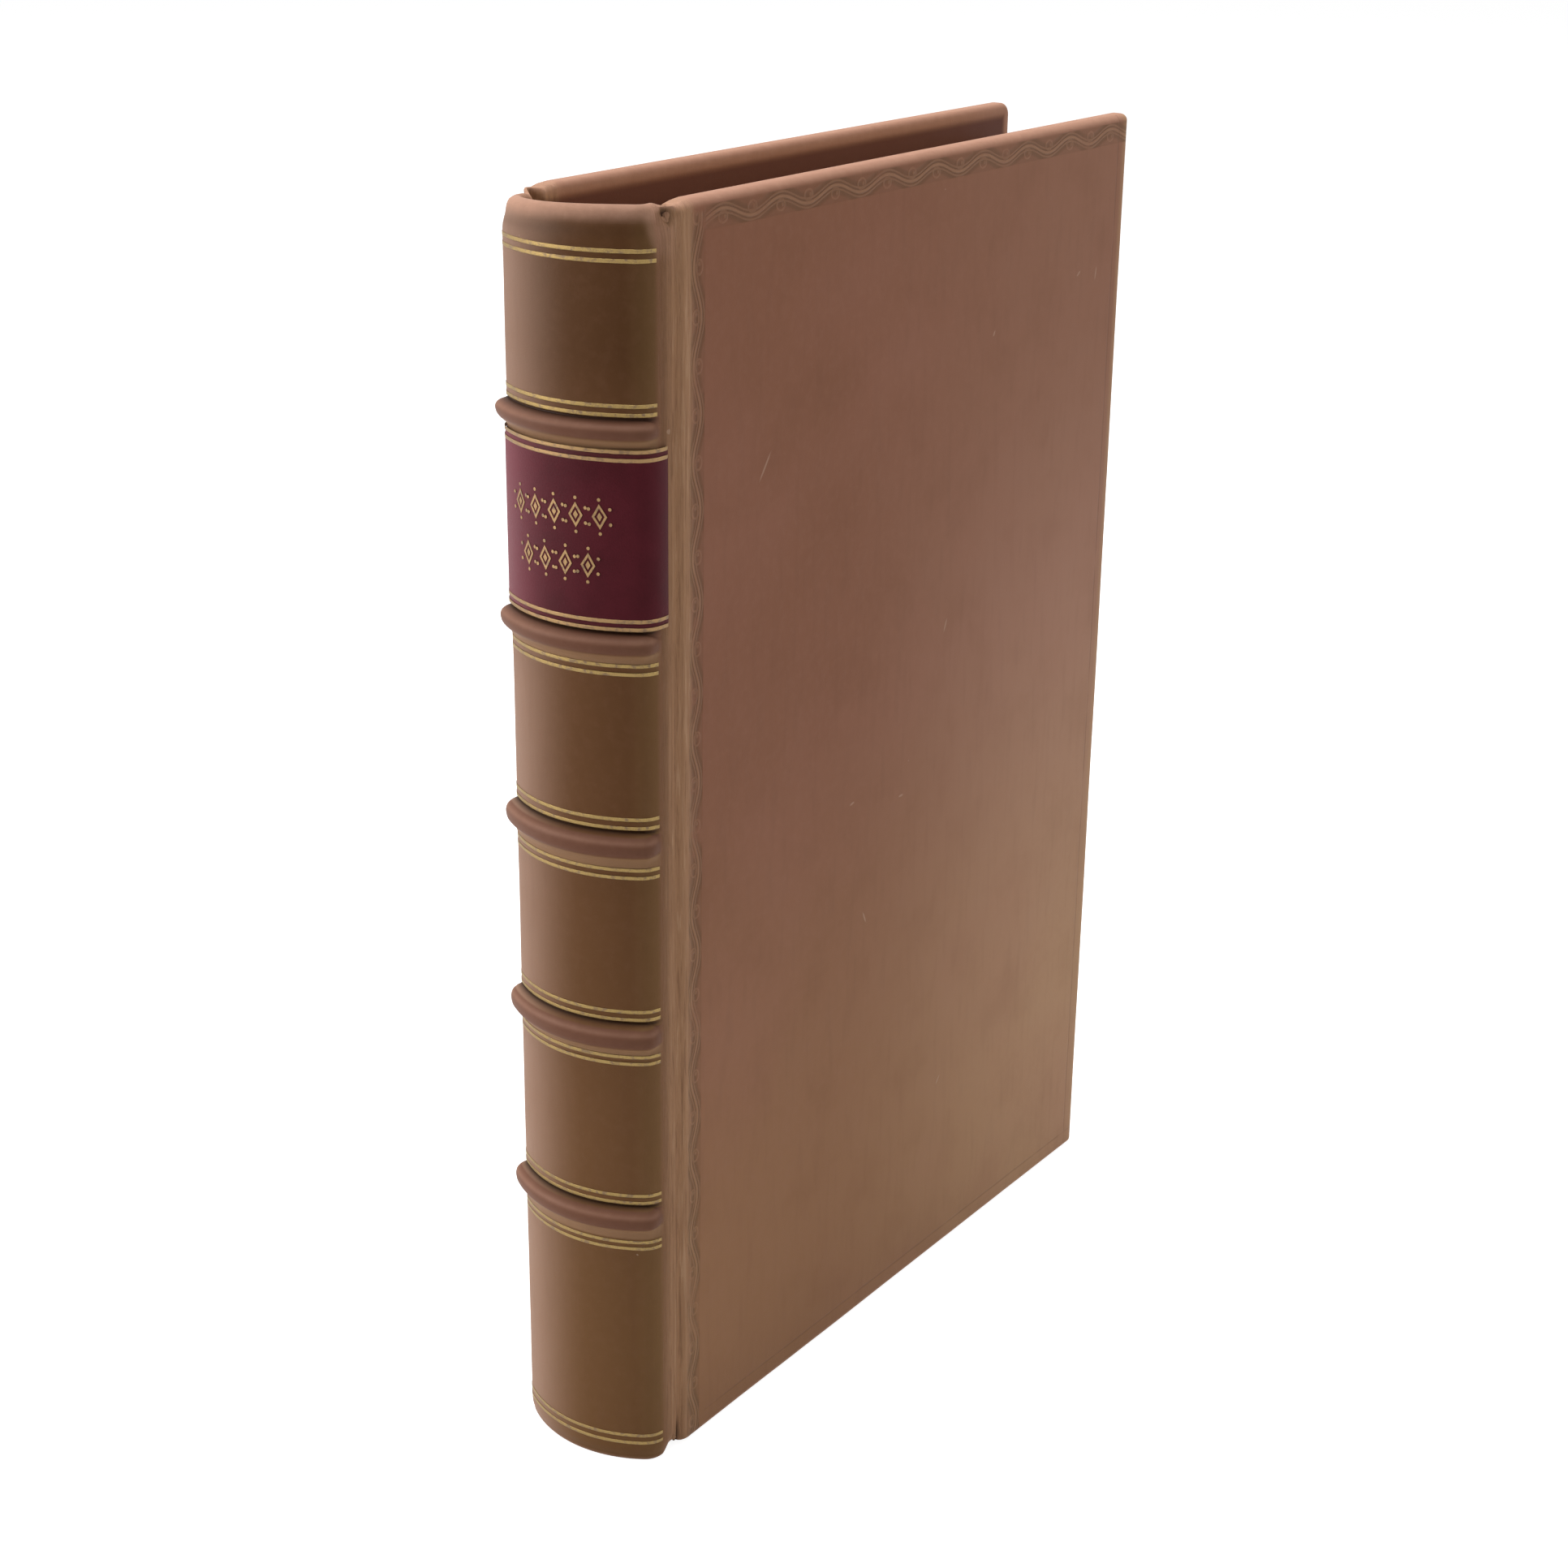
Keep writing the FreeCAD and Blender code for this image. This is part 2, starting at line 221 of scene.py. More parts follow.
def smooth_line(points, count):
    """A soft curve through points, with its own points evenly spaced along it."""
    points = np.array(points, float)
    padded = np.vstack([2 * points[0] - points[1], points, 2 * points[-1] - points[-2]])
    t = np.linspace(0.0, 1.0, 12, endpoint=False)[:, None]
    fine = []
    for a, b, c, d in zip(padded, padded[1:], padded[2:], padded[3:]):
        bend = (2 * a - 5 * b + 4 * c - d) * t**2 + (3 * b - a - 3 * c + d) * t**3
        fine.append(b + 0.5 * ((c - a) * t + bend))
    fine = np.vstack(fine + [points[-1:]])
    run = np.append(0.0, np.cumsum(np.linalg.norm(np.diff(fine, axis=0), axis=1)))
    even = np.linspace(0.0, run[-1], count)
    return np.stack([np.interp(even, run, fine[:, i]) for i in range(2)], axis=-1)


def ripple(points, size, seed):
    """Soft noise from -1 to 1 at points in millimetres."""
    shift = Vector((seed, seed * 1.7, seed * 0.3))
    return np.array([noise.noise(Vector(p) / size + shift) for p in points])


print("helpers ready")

# %% [markdown]
# ## The calf over the back
#
# On the real book one piece of damp calf is drawn over the cords and pressed down beside them with
# a pair of nippers, so each cord becomes a raised band with a tight crease above. Below, the leather
# runs off in a long slope. At head and tail it is turned in over itself and rolled into a cap.
#
# The section through the leather is one closed line: down the outside over the bands, round the
# tail cap, up the inside, and round the head cap. Carried from station to station it makes a
# watertight skin. The bands are lower and narrower near the joints, where the cords go flat.

# %% The section and the bands
plain_levels = [
    221.13, 219.60, 196.87, 195.43, 153.91, 152.47, 126.98, 125.43, 117.87, 116.45,
    91.52, 90.05, 82.91, 81.60, 55.66, 54.25, 46.33, 45.03, 5.81, 4.24,
]
label_levels = [189.67, 188.27, 161.59, 160.24]
band_end_share = 0.12
wall = 0.9
cap_sink = 1.0
cap_rows = 17
head_scale, tail_scale = (1.0, 1.0), (0.58, 0.5)
cap_outside = [
    (0.0, 6.2), (-0.08, 5.0), (-0.3, 3.8), (-0.52, 2.9), (-0.62, 2.2), (-0.8, 1.3), (-1.2, 0.55), (-1.95, 0.08),
]
cap_inside = [(-1.95, 0.08), (-2.65, 0.1), (-3.2, 0.65), (-3.3, 1.3)]
cap_return = [(-2.8, 1.9), (-1.25, 2.2)]
cord_hollow = [(-0.95, 1.35), (-0.05, 1.3), (0.87, 0.92), (1.25, 0.0)]


def band_section(level):
    """A band's outline between its fillets: a nip and a steep ledge above, a long slope below."""
    lines = plain_levels + label_levels
    nip = min(line for line in lines if line > level) - 0.7 - level
    foot = level - max(line for line in lines if line < level) - 0.35
    slope = [(-foot, 0.0), (-0.585 - 0.55 * foot, 0.24), (-1.4, 0.78), (-0.9, 1.32), (-0.35, 1.72)]
    top = [(0.12 * nip, 1.91), (0.38 * nip, 1.94), (0.64 * nip, 1.6), (0.85 * nip, 0.8)]
    crease = [(nip - 0.12, -0.05), (nip + 0.06, -0.28), (nip + 0.3, -0.2), (nip + 0.75, 0.0)]
    return nip, smooth_line(slope + top + crease, 160)


band_sections = [band_section(level) for level in band_levels]


def band_height(z, share):
    """How far the bands stand out at a height, for bands of that share of their full size."""
    rise = np.zeros_like(z)
    for level, (nip, outline) in zip(band_levels, band_sections):
        above = (z - level) / (0.55 + 0.45 * share)
        rise = rise + np.interp(above, outline[:, 0], outline[:, 1], left=0.0, right=0.0)
    return share * rise


def cap_points(scale, lead=(), count=cap_rows):
    """Points of the rolled cap as (depth, distance from the end), from the outside to the turn-in."""
    outside = smooth_line([*lead, *cap_outside], count)
    line = np.vstack([outside, smooth_line(cap_inside, 8)[1:], cap_return]) * scale
    line[-1][0] = -wall - 0.35
    return line


def cap_fall(z):
    """How far the head sinks where the cap leans, at a height."""
    return cap_sink * ease(z, height - 9.0, height - 1.0)


def outside_levels(head, tail):
    """Heights of the rows down the outside: close together on the bands, wide apart on the panels."""
    levels = [tail + 1.2, head - 1.2]
    for level in band_levels:
        levels += list(level + np.linspace(-3.6, 4.3, 46))
    for level in np.arange(tail + 2.4, head - 2.0, 1.6):
        if min(abs(level - b - 0.35) for b in band_levels) > 4.4:
            levels.append(level)
    return sorted(levels, reverse=True)


head_ring = [(d, height - z) for d, z in reversed(cap_points(head_scale))]
tail_ring = [(d, z) for d, z in cap_points(tail_scale)]
levels = outside_levels(head_ring[-1][1], tail_ring[0][1])
ring = head_ring + [(0.0, z) for z in levels] + tail_ring + [(-1.25, 17.6), (-wall, 17.0)]
for level in band_levels:
    ring += [(d, level - z) for d, z in cord_hollow] + [(d, level + z) for d, z in cord_hollow[-2::-1]]
ring += [(-wall, 210.0), (-1.25, 209.4)]
first_outside = len(head_ring) - cap_rows
last_outside = len(head_ring) + len(levels) + cap_rows
print(f"{len(ring)} points in the section, {len(levels)} of them down the outside")

# %% Carry the section round the back


def build_spine_skin():
    depth, level = np.array(ring).T
    size, count = len(ring), len(stations)
    is_outside = np.zeros(size, bool)
    is_outside[first_outside:last_outside] = True
    in_hollow = ~is_outside & (depth > -wall) & (level > 20.0) & (level < height - 20.0)
    rows, wear, crease = [], [], []
    for station in stations:
        angle = abs(station[3])
        share = 1.0 - (1.0 - band_end_share) * ease(angle, 46.0, 88.0)
        proud = depth + is_outside * band_height(level, share)
        proud = np.where(in_hollow, -wall + (depth + wall) * share, proud)
        sunk = level - cap_fall(level) * ease(station[3], -35.0, 45.0)
        rows.append(on_spine(np.repeat(station[None, :], size, 0), proud, sunk))
        fold = height - 2.8 - 5.0 * ease(angle, 45.0, 90.0)
        # The cap rims are worn pale and are also painted lighter, as a painted highlight from the lamp above.
        cap_wear_and_highlight = ease(level, height - 3.2, height - 0.9) + 0.6 * (1 - ease(level, 0.2, 1.2))
        cap_wear_and_highlight = cap_wear_and_highlight + 0.4 * ease(level, fold - 1.6, fold + 1.8) * ease(angle, 45.0, 75.0)
        # A painted highlight runs along the ledge of each band and goes into the wear note.
        ledge = 0.0
        # Painted shade in the nip above each band and in the hollow under the head cap, kept in the crease note.
        painted_nip_shade = 0.22 * bump(level, height - 3.9, 1.0) * (1 - ease(angle, 50.0, 70.0))
        for band, (nip, outline) in zip(band_levels, band_sections):
            ledge = ledge + bump(level, band + 0.58 * nip, 0.45) * min(1.0, 1.3 * share)
            painted_nip_shade = painted_nip_shade + bump(level, band + nip, 0.34) * min(1.0, 1.8 * share)
        wear.append(is_outside * 0.35 * ledge + cap_wear_and_highlight)
        crease.append(is_outside * painted_nip_shade)
    points = np.array(rows).reshape(-1, 3)
    faces = grid_faces(count, size, closed=True)
    faces = facing(points, faces, count // 2 * size + first_outside + 5, (-1.0, 0.0, 0.0))
    soft = ripple(points, 14.0, 3.0) * 0.05 + ripple(points, 4.0, 9.0) * 0.02
    free = np.tile(is_outside, count) * np.repeat(1 - ease(np.abs(stations[:, 3]), 78.0, 90.0), size)
    outward = (points - np.array([crease_x + 6.0, 0.0, 0.0])) * np.array([1.0, 1.0, 0.0])
    outward /= np.linalg.norm(outward, axis=1, keepdims=True)
    points = points + outward * (soft * free)[:, None]
    notes = {"place": points, "wear": np.ravel(wear), "crease": np.ravel(crease)}
    return mesh_piece("spine_skin", points, faces, notes)


spine_skin = build_spine_skin()
print(f"spine skin: {len(spine_skin.data.polygons)} faces")

# %% [markdown]
# ## The calf over the covers
#
# The same skin goes on over the joint and each board, is turned in over three edges and is cut to a
# mitre at the corners. At the head of the joint it folds into a small pit beside the cap, and at the
# tail into a slit, so that the cover can open.
#
# The mesh follows the binder's hands. A plain grid lies on the outside of the board. Round it run
# U-shaped rows, each a little further over the edge, which come back as the turn-in with their
# square corners on the mitre. The rear cover's corners are the rounder ones.

# %% Levels of the cover's section
joint_turn = 2.2
outer_round, inner_round = 1.6, 1.1
corner_rounds = {-1: 1.3, 1: 2.4}
turn_in = 16.0
grid_inset = 9.0
ridge_rise = 0.2
pit_depth, slit_depth = 1.0, 0.45
tail_lift = 1.3
bend_start, bend_end = -2.1, 1.4
shoulder_x = joint_x + hinge_gap + math.sqrt(2 * joint_turn * joint_step - joint_step**2)
notch_stops = [
    (-4.0, 0.0), (-2.8, 0.0), (-1.3, 0.5), (-0.9, 0.55), (0.4, 0.6), (1.3, 0.5), (2.6, 0.2), (4.5, 0.0),
]
notch_grid = np.linspace(-6.0, 6.0, 481)
notch_line = np.pad(np.interp(notch_grid, *zip(*notch_stops)), 8, mode="edge")
blur = np.exp(-np.linspace(-2.0, 2.0, 17) ** 2)
notch_line = np.convolve(notch_line, blur / blur.sum(), "valid")


def outside_y(x):
    """The outer face: the joint's strip, its shoulder, and the flat of the board."""
    arc = outer_face - joint_turn + np.sqrt(np.clip(joint_turn**2 - (shoulder_x - x) ** 2, 0.0, None))
    face = np.where(x >= shoulder_x, outer_face, np.where(x > joint_x + hinge_gap, arc, joint_face))
    return face + ridge_rise * bump(x, joint_x + 2.1, 1.5) - 0.06 * bump(x, joint_x - 0.15, 0.3)


def inside_y(x):
    """The inner face: thin behind the joint, and the turned-in leather on the board."""
    return (joint_face - wall) + (turn_in_face - joint_face + wall) * ease(x, joint_x - 0.1, joint_x + 1.0)


def edge_rows():
    """(inset, share of the way from the outer to the inner face) of each row over the edge."""
    thick = outer_face - turn_in_face
    rows = [(d, 0.0) for d in (grid_inset, 7.0, 5.5, 4.3, 3.3, 2.5, 2.0)]
    for a in np.linspace(0.0, math.pi / 2, 9):
        rows.append((outer_round * (1 - math.sin(a)), outer_round * (1 - math.cos(a)) / thick))
    for a in np.linspace(0.0, math.pi / 2, 7):
        rows.append((inner_round * (1 - math.cos(a)), 1 - inner_round * (1 - math.sin(a)) / thick))
    rows += [(d, 1.0) for d in (1.7, 2.6, 4.0, 7.0, 10.0, 13.0, 15.2)]
    return rows + [(turn_in - 0.3, 1.01), (turn_in, 1.05)]


cover_rows = edge_rows()


def strip_rows(scale):
    """The same rows where they cross the joint: the cap's section, run on past the end of the back."""
    rows = cap_points(scale, [(0.0, 9.0), (0.0, 7.5)], 16).tolist()
    rows += [[-wall, inset] for inset, share in cover_rows[len(rows):]]
    rows[0][1] = grid_inset
    return rows


def in_strip(x):
    """1 on the strip beside the spine, which has the cap's section, and 0 on the board."""
    return 1.0 - ease(x, joint_x + bend_start, joint_x - 0.2)


column_x = np.concatenate([
    np.arange(crease_x, joint_x - 2.4, 0.25),
    np.arange(joint_x - 2.4, joint_x + 3.2, 0.16),
    np.arange(joint_x + 3.2, joint_x + 9.0, 0.5),
    np.arange(joint_x + 9.0, fore_x - 19.0, 2.4),
])
row_z = np.linspace(20.0, height - 20.0, 91)
corner_steps = 7
head_strip, tail_strip = strip_rows(head_scale), strip_rows(tail_scale)
strip_share = in_strip(column_x)
print(f"{len(column_x)} columns, {len(row_z)} rows, {len(cover_rows)} rows over the edge")

# %% Build one cover's sheet


def edge_path(row, inset, share, corner_round):
    """One U-shaped row, from the joint's tail round the fore-edge to the joint's head."""
    turned_in = share >= 1.0
    radius = max(corner_round - inset, 0.25 if turned_in else 0.6 + max(inset - 1.6, 0.0) * 0.5)
    notch = np.interp(column_x - joint_x, notch_grid, notch_line, left=0.0, right=0.0)
    near = notch * max(0.0, 1.0 - inset / (turn_in if turned_in else grid_inset))
    lift = tail_lift * max(0.0, 1.0 - inset / grid_inset) * ease(column_x, crease_x, crease_x + 1.8)
    near_tail = near + lift * (1 - ease(column_x, joint_x - 1.0, joint_x + 1.2))
    tail_dip = tail_strip[row][1] * strip_share + inset * (1 - strip_share) + near_tail
    head_dip = head_strip[row][1] * strip_share + inset * (1 - strip_share) + near
    cx, cz = fore_x - inset - radius, inset + radius
    turns = np.linspace(-math.pi / 2, 0.0, corner_steps + 1)[1:-1]
    corner = [(cx, inset)] + [(cx + radius * math.cos(a), cz + radius * math.sin(a)) for a in turns]
    tail = list(zip(column_x, tail_dip)) + corner
    head = list(zip(column_x, head_dip)) + corner
    side = [(fore_x - inset, z) for z in (cz, *row_z, height - cz)]
    x, z = np.array(tail + side + [(x, height - z) for x, z in reversed(head)]).T
    y = outside_y(x) + (inside_y(x) - outside_y(x)) * share
    n = len(column_x)
    for part, strip in ((slice(n), tail_strip), (slice(None, -n - 1, -1), head_strip)):
        y[part] = y[part] * (1 - strip_share) + (joint_face + strip[row][0]) * strip_share
    return np.stack([x, y, z], axis=-1)


def build_cover_sheet(corner_round):
    """A cover's leather as a sheet, on the rear side of the book."""
    rings = [edge_path(row, d, s, corner_round) for row, (d, s) in enumerate(cover_rows)]
    length = len(rings[0])
    faces = []
    for k in range(len(rings) - 1):
        for a in range(k * length, (k + 1) * length - 1):
            faces.append((a, a + length, a + length + 1, a + 1))
    n = len(column_x)
    start = len(rings) * length
    corner_z = rings[0][n + corner_steps][2]
    xs = np.append(column_x, rings[0][n][0])
    zs = np.concatenate([[corner_z], row_z, [height - corner_z]])
    grid_x, grid_z = (axis.ravel() for axis in np.meshgrid(xs, zs, indexing="ij"))
    last = len(zs) - 1

    def grid(i, j):
        return start + i * len(zs) + j

    for i in range(n):
        for j in range(last):
            faces.append((grid(i, j), grid(i + 1, j), grid(i + 1, j + 1), grid(i, j + 1)))
        faces.append((grid(i, 0), i, i + 1, grid(i + 1, 0)))
        top = length - 1 - i
        faces.append((grid(i, last), grid(i + 1, last), top - 1, top))
    for c in range(n, n + corner_steps):
        faces.append((grid(n, 0), c, c + 1))
        faces.append((grid(n, last), length - 2 - c, length - 1 - c))
    first = n + corner_steps
    for j in range(last):
        faces.append((grid(n, j), first + j, first + j + 1, grid(n, j + 1)))
    points = np.vstack(rings + [np.stack([grid_x, outside_y(grid_x), grid_z], axis=-1)])
    return points, facing(points, faces, length // 2, (0.0, 1.0, 0.0))


cover_sheets = {side: build_cover_sheet(corner) for side, corner in corner_rounds.items()}
print(f"cover sheet: {len(cover_sheets[1][0])} points, {len(cover_sheets[1][1])} faces")

# %% [markdown]
# The joint shows a book's age first. The leather folds on the same lines each time the cover opens,
# so long shallow creases run up the strip beside the spine. They are in the mesh, because they
# catch the light along their whole length, and shade is painted into them too. Wear on edges and
# corners is a note for the finish, and so are the painted highlights on the inner top edges and at
# the head of the joint.

# %% Creases in the joint, and the two skins
joint_creases = ((-2.3, 0.05, 0.25), (-1.2, 0.06, 0.28), (-0.3, 0.06, 0.26), (1.0, 0.04, 0.25), (3.9, 0.07, 0.4))


def build_cover_skin(name, side):
    points, cover_faces = cover_sheets[side]
    x, y, z = points.T
    none = np.zeros_like(x)
    across = x - joint_x
    normals = point_normals(points, cover_faces)
    on_outside = ease(y, joint_face - 0.85, joint_face - 0.2)
    lean = ripple(np.stack([none, none, z], -1), 38.0, 5.0 + side) * 0.3
    lines = sum(deep * bump(across - lean, line_x, wide) for line_x, deep, wide in joint_creases)
    patchy = 0.6 + 0.4 * ripple(np.stack([x * 3.0, none, z], -1), 11.0, 2.0)
    fine = ripple(np.stack([x * 9.0, none, z * 0.5], -1), 5.0, 7.0) * 0.03
    near_joint = 1 - ease(across, 2.5, 5.0)
    broad = ripple(points, 30.0, 11.0) * 0.06 + ripple(points, 7.0, 4.0) * 0.015
    shift = ((fine - lines * patchy) * near_joint + broad) * on_outside * ease(x, crease_x, crease_x + 1.2)
    points = points + normals * shift[:, None]

    outer_side = normals[:, 1] > 0.1
    down = height - z
    narrow = np.clip(1.5 - 0.3 * down, 0.35, 1.3)
    pit = outer_side * bump(across, 0.22 * down - 1.7, narrow) * ease(down, 0.5, 2.0) * (1 - ease(down, 2.2, 4.0))
    slit = outer_side * bump(across, -0.2, 0.3) * (1 - ease(z, 2.0, 9.0))
    points[:, 1] -= pit_depth * pit + slit_depth * slit
    if side > 0:
        points[:, 2] -= cap_fall(z) * in_strip(x)
    # Wear pales the rounded edges. A painted highlight lies on the inside just below the head and the fore-edge,
    # and at the head of the joint the cap's pale rim goes on as wear with a painted highlight.
    rounding = 1 - ease(np.minimum(np.minimum(down, z), fore_x - x), 0.3, 1.7)
    painted_inner_top_light = (1 - ease(np.minimum(down, fore_x - x), 0.9, 3.0)) * (y < turn_in_face + 0.5)
    wear = np.maximum(rounding * (y > turn_in_face + 0.4), 0.9 * painted_inner_top_light)
    strip_rim_wear_and_light = 1 - ease(down - (x - crease_x) * 0.35, 5.5, 9.0)
    wear = wear + 0.4 * strip_rim_wear_and_light * (1 - ease(across, -0.6, 1.5)) * (y > joint_face - 3.6) - pit * 2.5
    # Painted shade in the pit, the slit and the folded lines of the joint, kept in the crease note.
    shade = pit * (1 - 0.6 * ease(across, -1.3, -0.2)) * 1.1
    crease = lines * 2.0 * near_joint * on_outside + shade + slit
    shell, faces = thicken(points, cover_faces, np.where(across < 1.0, 0.42, 0.55))
    place = np.vstack([points, points])
    if side < 0:
        mirror = np.array([1.0, -1.0, 1.0])
        shell, place, faces = shell * mirror, place * mirror, turned_over(faces)
    notes = {"place": place, "wear": np.tile(wear, 2), "crease": np.tile(crease, 2)}
    return mesh_piece(name, shell, faces, notes)


front_skin = build_cover_skin("front_cover_skin", -1)
rear_skin = build_cover_skin("rear_cover_skin", 1)
print(f"cover skins: {len(front_skin.data.polygons)} faces each")

# %% [markdown]
# ## The leaves
#
# The leaves are sewn in gatherings. From outside they are three trimmed edges, flat at head and tail
# and hollow at the fore-edge, with a faint line between two gatherings. The block is one closed mesh
# whose section is repeated across the thickness, and each gathering stands a hair higher or lower.

# %% Build the block of leaves
leaves_low, leaves_high = box_mm("text_block")
gatherings = 22
fore_hollow = 4.5
leaf_gap = 0.12


def build_leaves():
    half = leaves_high[1] - 0.02
    stops = []
    for g in range(gatherings):
        for share, dip in ((0.0, 1.0), (0.18, 0.15), (0.5, 0.0), (0.82, 0.15)):
            stops.append((-half + 2 * half * (g + share) / gatherings, dip, g))
    stops.append((half, 1.0, gatherings - 1))
    back_line = on_spine(stations, -(wall + 0.45), 0.0)
    rng = np.random.default_rng(7)
    step_head, step_fore, step_tail = (rng.normal(0.0, spread, gatherings) for spread in (0.06, 0.09, 0.05))
    radius = (half**2 + fore_hollow**2) / (2 * fore_hollow)
    rows = []
    for y, dip, g in stops:
        back = np.interp(y, back_line[:, 1], back_line[:, 0])
        if abs(y) > abs(back_line[0, 1]) - 0.05:
            back = crease_x
        back = max(back, leaves_low[0] + 0.02) + 0.02
        hollow = fore_hollow - (radius - math.sqrt(radius**2 - y**2))
        fore = leaves_high[0] - hollow - leaf_gap - 0.14 * dip + step_fore[g]
        head = leaves_high[2] - leaf_gap - 0.1 * dip + step_head[g]
        tail = leaves_low[2] + leaf_gap + 0.1 * dip - step_tail[g]
        xs = np.linspace(back, fore - 0.25, 12)
        row = [(x, y, head) for x in xs] + [(fore, y, z) for z in np.linspace(head - 0.25, tail + 0.25, 16)]
        row += [(x, y, tail) for x in xs[::-1]] + [(back, y, z) for z in np.linspace(tail + 4, head - 4, 6)]
        rows.append(row)
    points = np.array(rows).reshape(-1, 3)
    faces = facing(points, grid_faces(len(rows), len(rows[0]), closed=True), 0, (0.0, 0.0, 1.0))
    return mesh_piece("leaves", points, faces, {"place": points}, sharp=50.0)


leaves = build_leaves()
print(f"leaves: {gatherings} gatherings, {len(leaves.data.polygons)} faces")

# %% [markdown]
# ## The title label
#
# A square of thin burgundy skin is pared at its edges until they vanish into the calf, pasted
# between two bands, and reaches just past the shoulders. Its mesh is a patch of the spine's stations
# with a little thickness that runs out at the rim.

# %% Build the label
label_low, label_high = box_mm("title_label")
label_overlap = 1.9


def wing_rise(reach):
    """The share of its thickness that the label has at a distance from its end."""
    return min(1.0, 0.35 + reach)


def build_label():
    around = spine_stations(97)
    rim = np.array([0.0, 0.12, 0.5])
    zs = np.concatenate([
        label_low[2] + rim, np.linspace(label_low[2] + 1.5, label_high[2] - 1.5, 24), label_high[2] - rim[::-1],
    ])
    wing = np.array([0.0, 0.15, 0.5, 1.2, 1.8])
    rows = []
    for z in zs:
        skirt = 0.16 + 0.26 * float(ease(min(z - label_low[2], label_high[2] - z), 0.0, 0.8))
        front = [(crease_x + label_overlap - w, -(joint_face + skirt * wing_rise(w)), z) for w in wing]
        rear = [(crease_x + w, joint_face + skirt * wing_rise(label_overlap - w), z) for w in wing[1:] + 0.5]
        rows.append(np.vstack([front, on_spine(around, skirt, z), rear]))
    size = len(rows[0])
    points = np.vstack(rows)
    faces = facing(points, grid_faces(len(rows), size), size // 2, (-1.0, 0.0, 0.0))
    worn = ripple(points, 6.0, 21.0) * 0.02
    shell, faces = thicken(points + point_normals(points, faces) * worn[:, None], faces, 0.14)
    edge = np.minimum(shell[:, 2] - label_low[2], label_high[2] - shell[:, 2])
    return mesh_piece("title_patch", shell, faces, {"place": shell, "wear": 1 - ease(edge, 0.1, 0.9)})


label = build_label()
print(f"label: {label_high[2] - label_low[2]:.1f} mm tall, {len(label.data.polygons)} faces")

# %% [markdown]
# ## One small class for all node trees
#
# Shaders and Geometry Nodes are both graphs. `Graph.node` adds any node: its settings first, then
# the values or links of its inputs. It gives back a `Value`, and ordinary Python arithmetic on a
# value adds the Math nodes, so `1 - mask * 0.4` reads as it would on paper.

# %% The graph and its values


def math_node(operation):
    """A method that adds a Math node and gives its value."""
    def method(self, *others):
        return self.graph.node("ShaderNodeMath", {"operation": operation}, dict(enumerate((self, *others))))
    return method


class Value:
    """An output of a node that can be used in sums."""

    def __init__(self, graph, socket):
        self.graph, self.socket = graph, socket

    __add__ = __radd__ = math_node("ADD")
    __mul__ = __rmul__ = math_node("MULTIPLY")
    __sub__ = math_node("SUBTRACT")
    __abs__ = math_node("ABSOLUTE")
    sine, power = math_node("SINE"), math_node("POWER")
    at_most, at_least = math_node("MINIMUM"), math_node("MAXIMUM")
    modulo, wrap = math_node("MODULO"), math_node("WRAP")

    def __rsub__(self, other):
        return self * -1.0 + other

    def eased(self, low, high):
        """0 at low and 1 at high, with a smooth step between."""
        inputs = {"Value": self, "From Min": low, "From Max": high}
        return self.graph.node("ShaderNodeMapRange", {"interpolation_type": "SMOOTHSTEP"}, inputs)


class Graph:
    """A node tree and the one method that adds to it."""

    def __init__(self, tree):
        self.tree = tree
        tree.nodes.clear()

    def node(self, kind, settings=None, inputs=None, out=0):
        made = self.tree.nodes.new(kind)
        for key, value in (settings or {}).items():
            setattr(made, key, value)
        for key, value in (inputs or {}).items():
            socket = made.inputs[key]
            if isinstance(value, (Value, list)):
                for link in reversed(value) if isinstance(value, list) else [value]:
                    self.tree.links.new(link.socket, socket)
            else:
                socket.default_value = (*value, 1.0) if socket.type == "RGBA" else value
        return Value(self, made.outputs[out])

    def mix(self, share, first, second):
        """A colour between two others."""
        settings = {"data_type": "RGBA", "clamp_factor": True}
        return self.node("ShaderNodeMix", settings, {0: share, 6: first, 7: second}, 2)

    def layers(self, colour, *coats):
        """A ground colour with coats over it, each given as its share and its colour."""
        for share, coat in coats:
            colour = self.mix(share, colour, coat)
        return colour

    def noise(self, where, scale, detail=2.0, rough=0.5, distortion=0.0):
        inputs = {"Vector": where, "Scale": scale, "Detail": detail, "Roughness": rough, "Distortion": distortion}
        return self.node("ShaderNodeTexNoise", {"noise_dimensions": "3D"}, inputs)

    def scaled(self, where, by):
        """A place stretched along its three axes."""
        return self.node("ShaderNodeVectorMath", {"operation": "MULTIPLY"}, {0: where, 1: by})


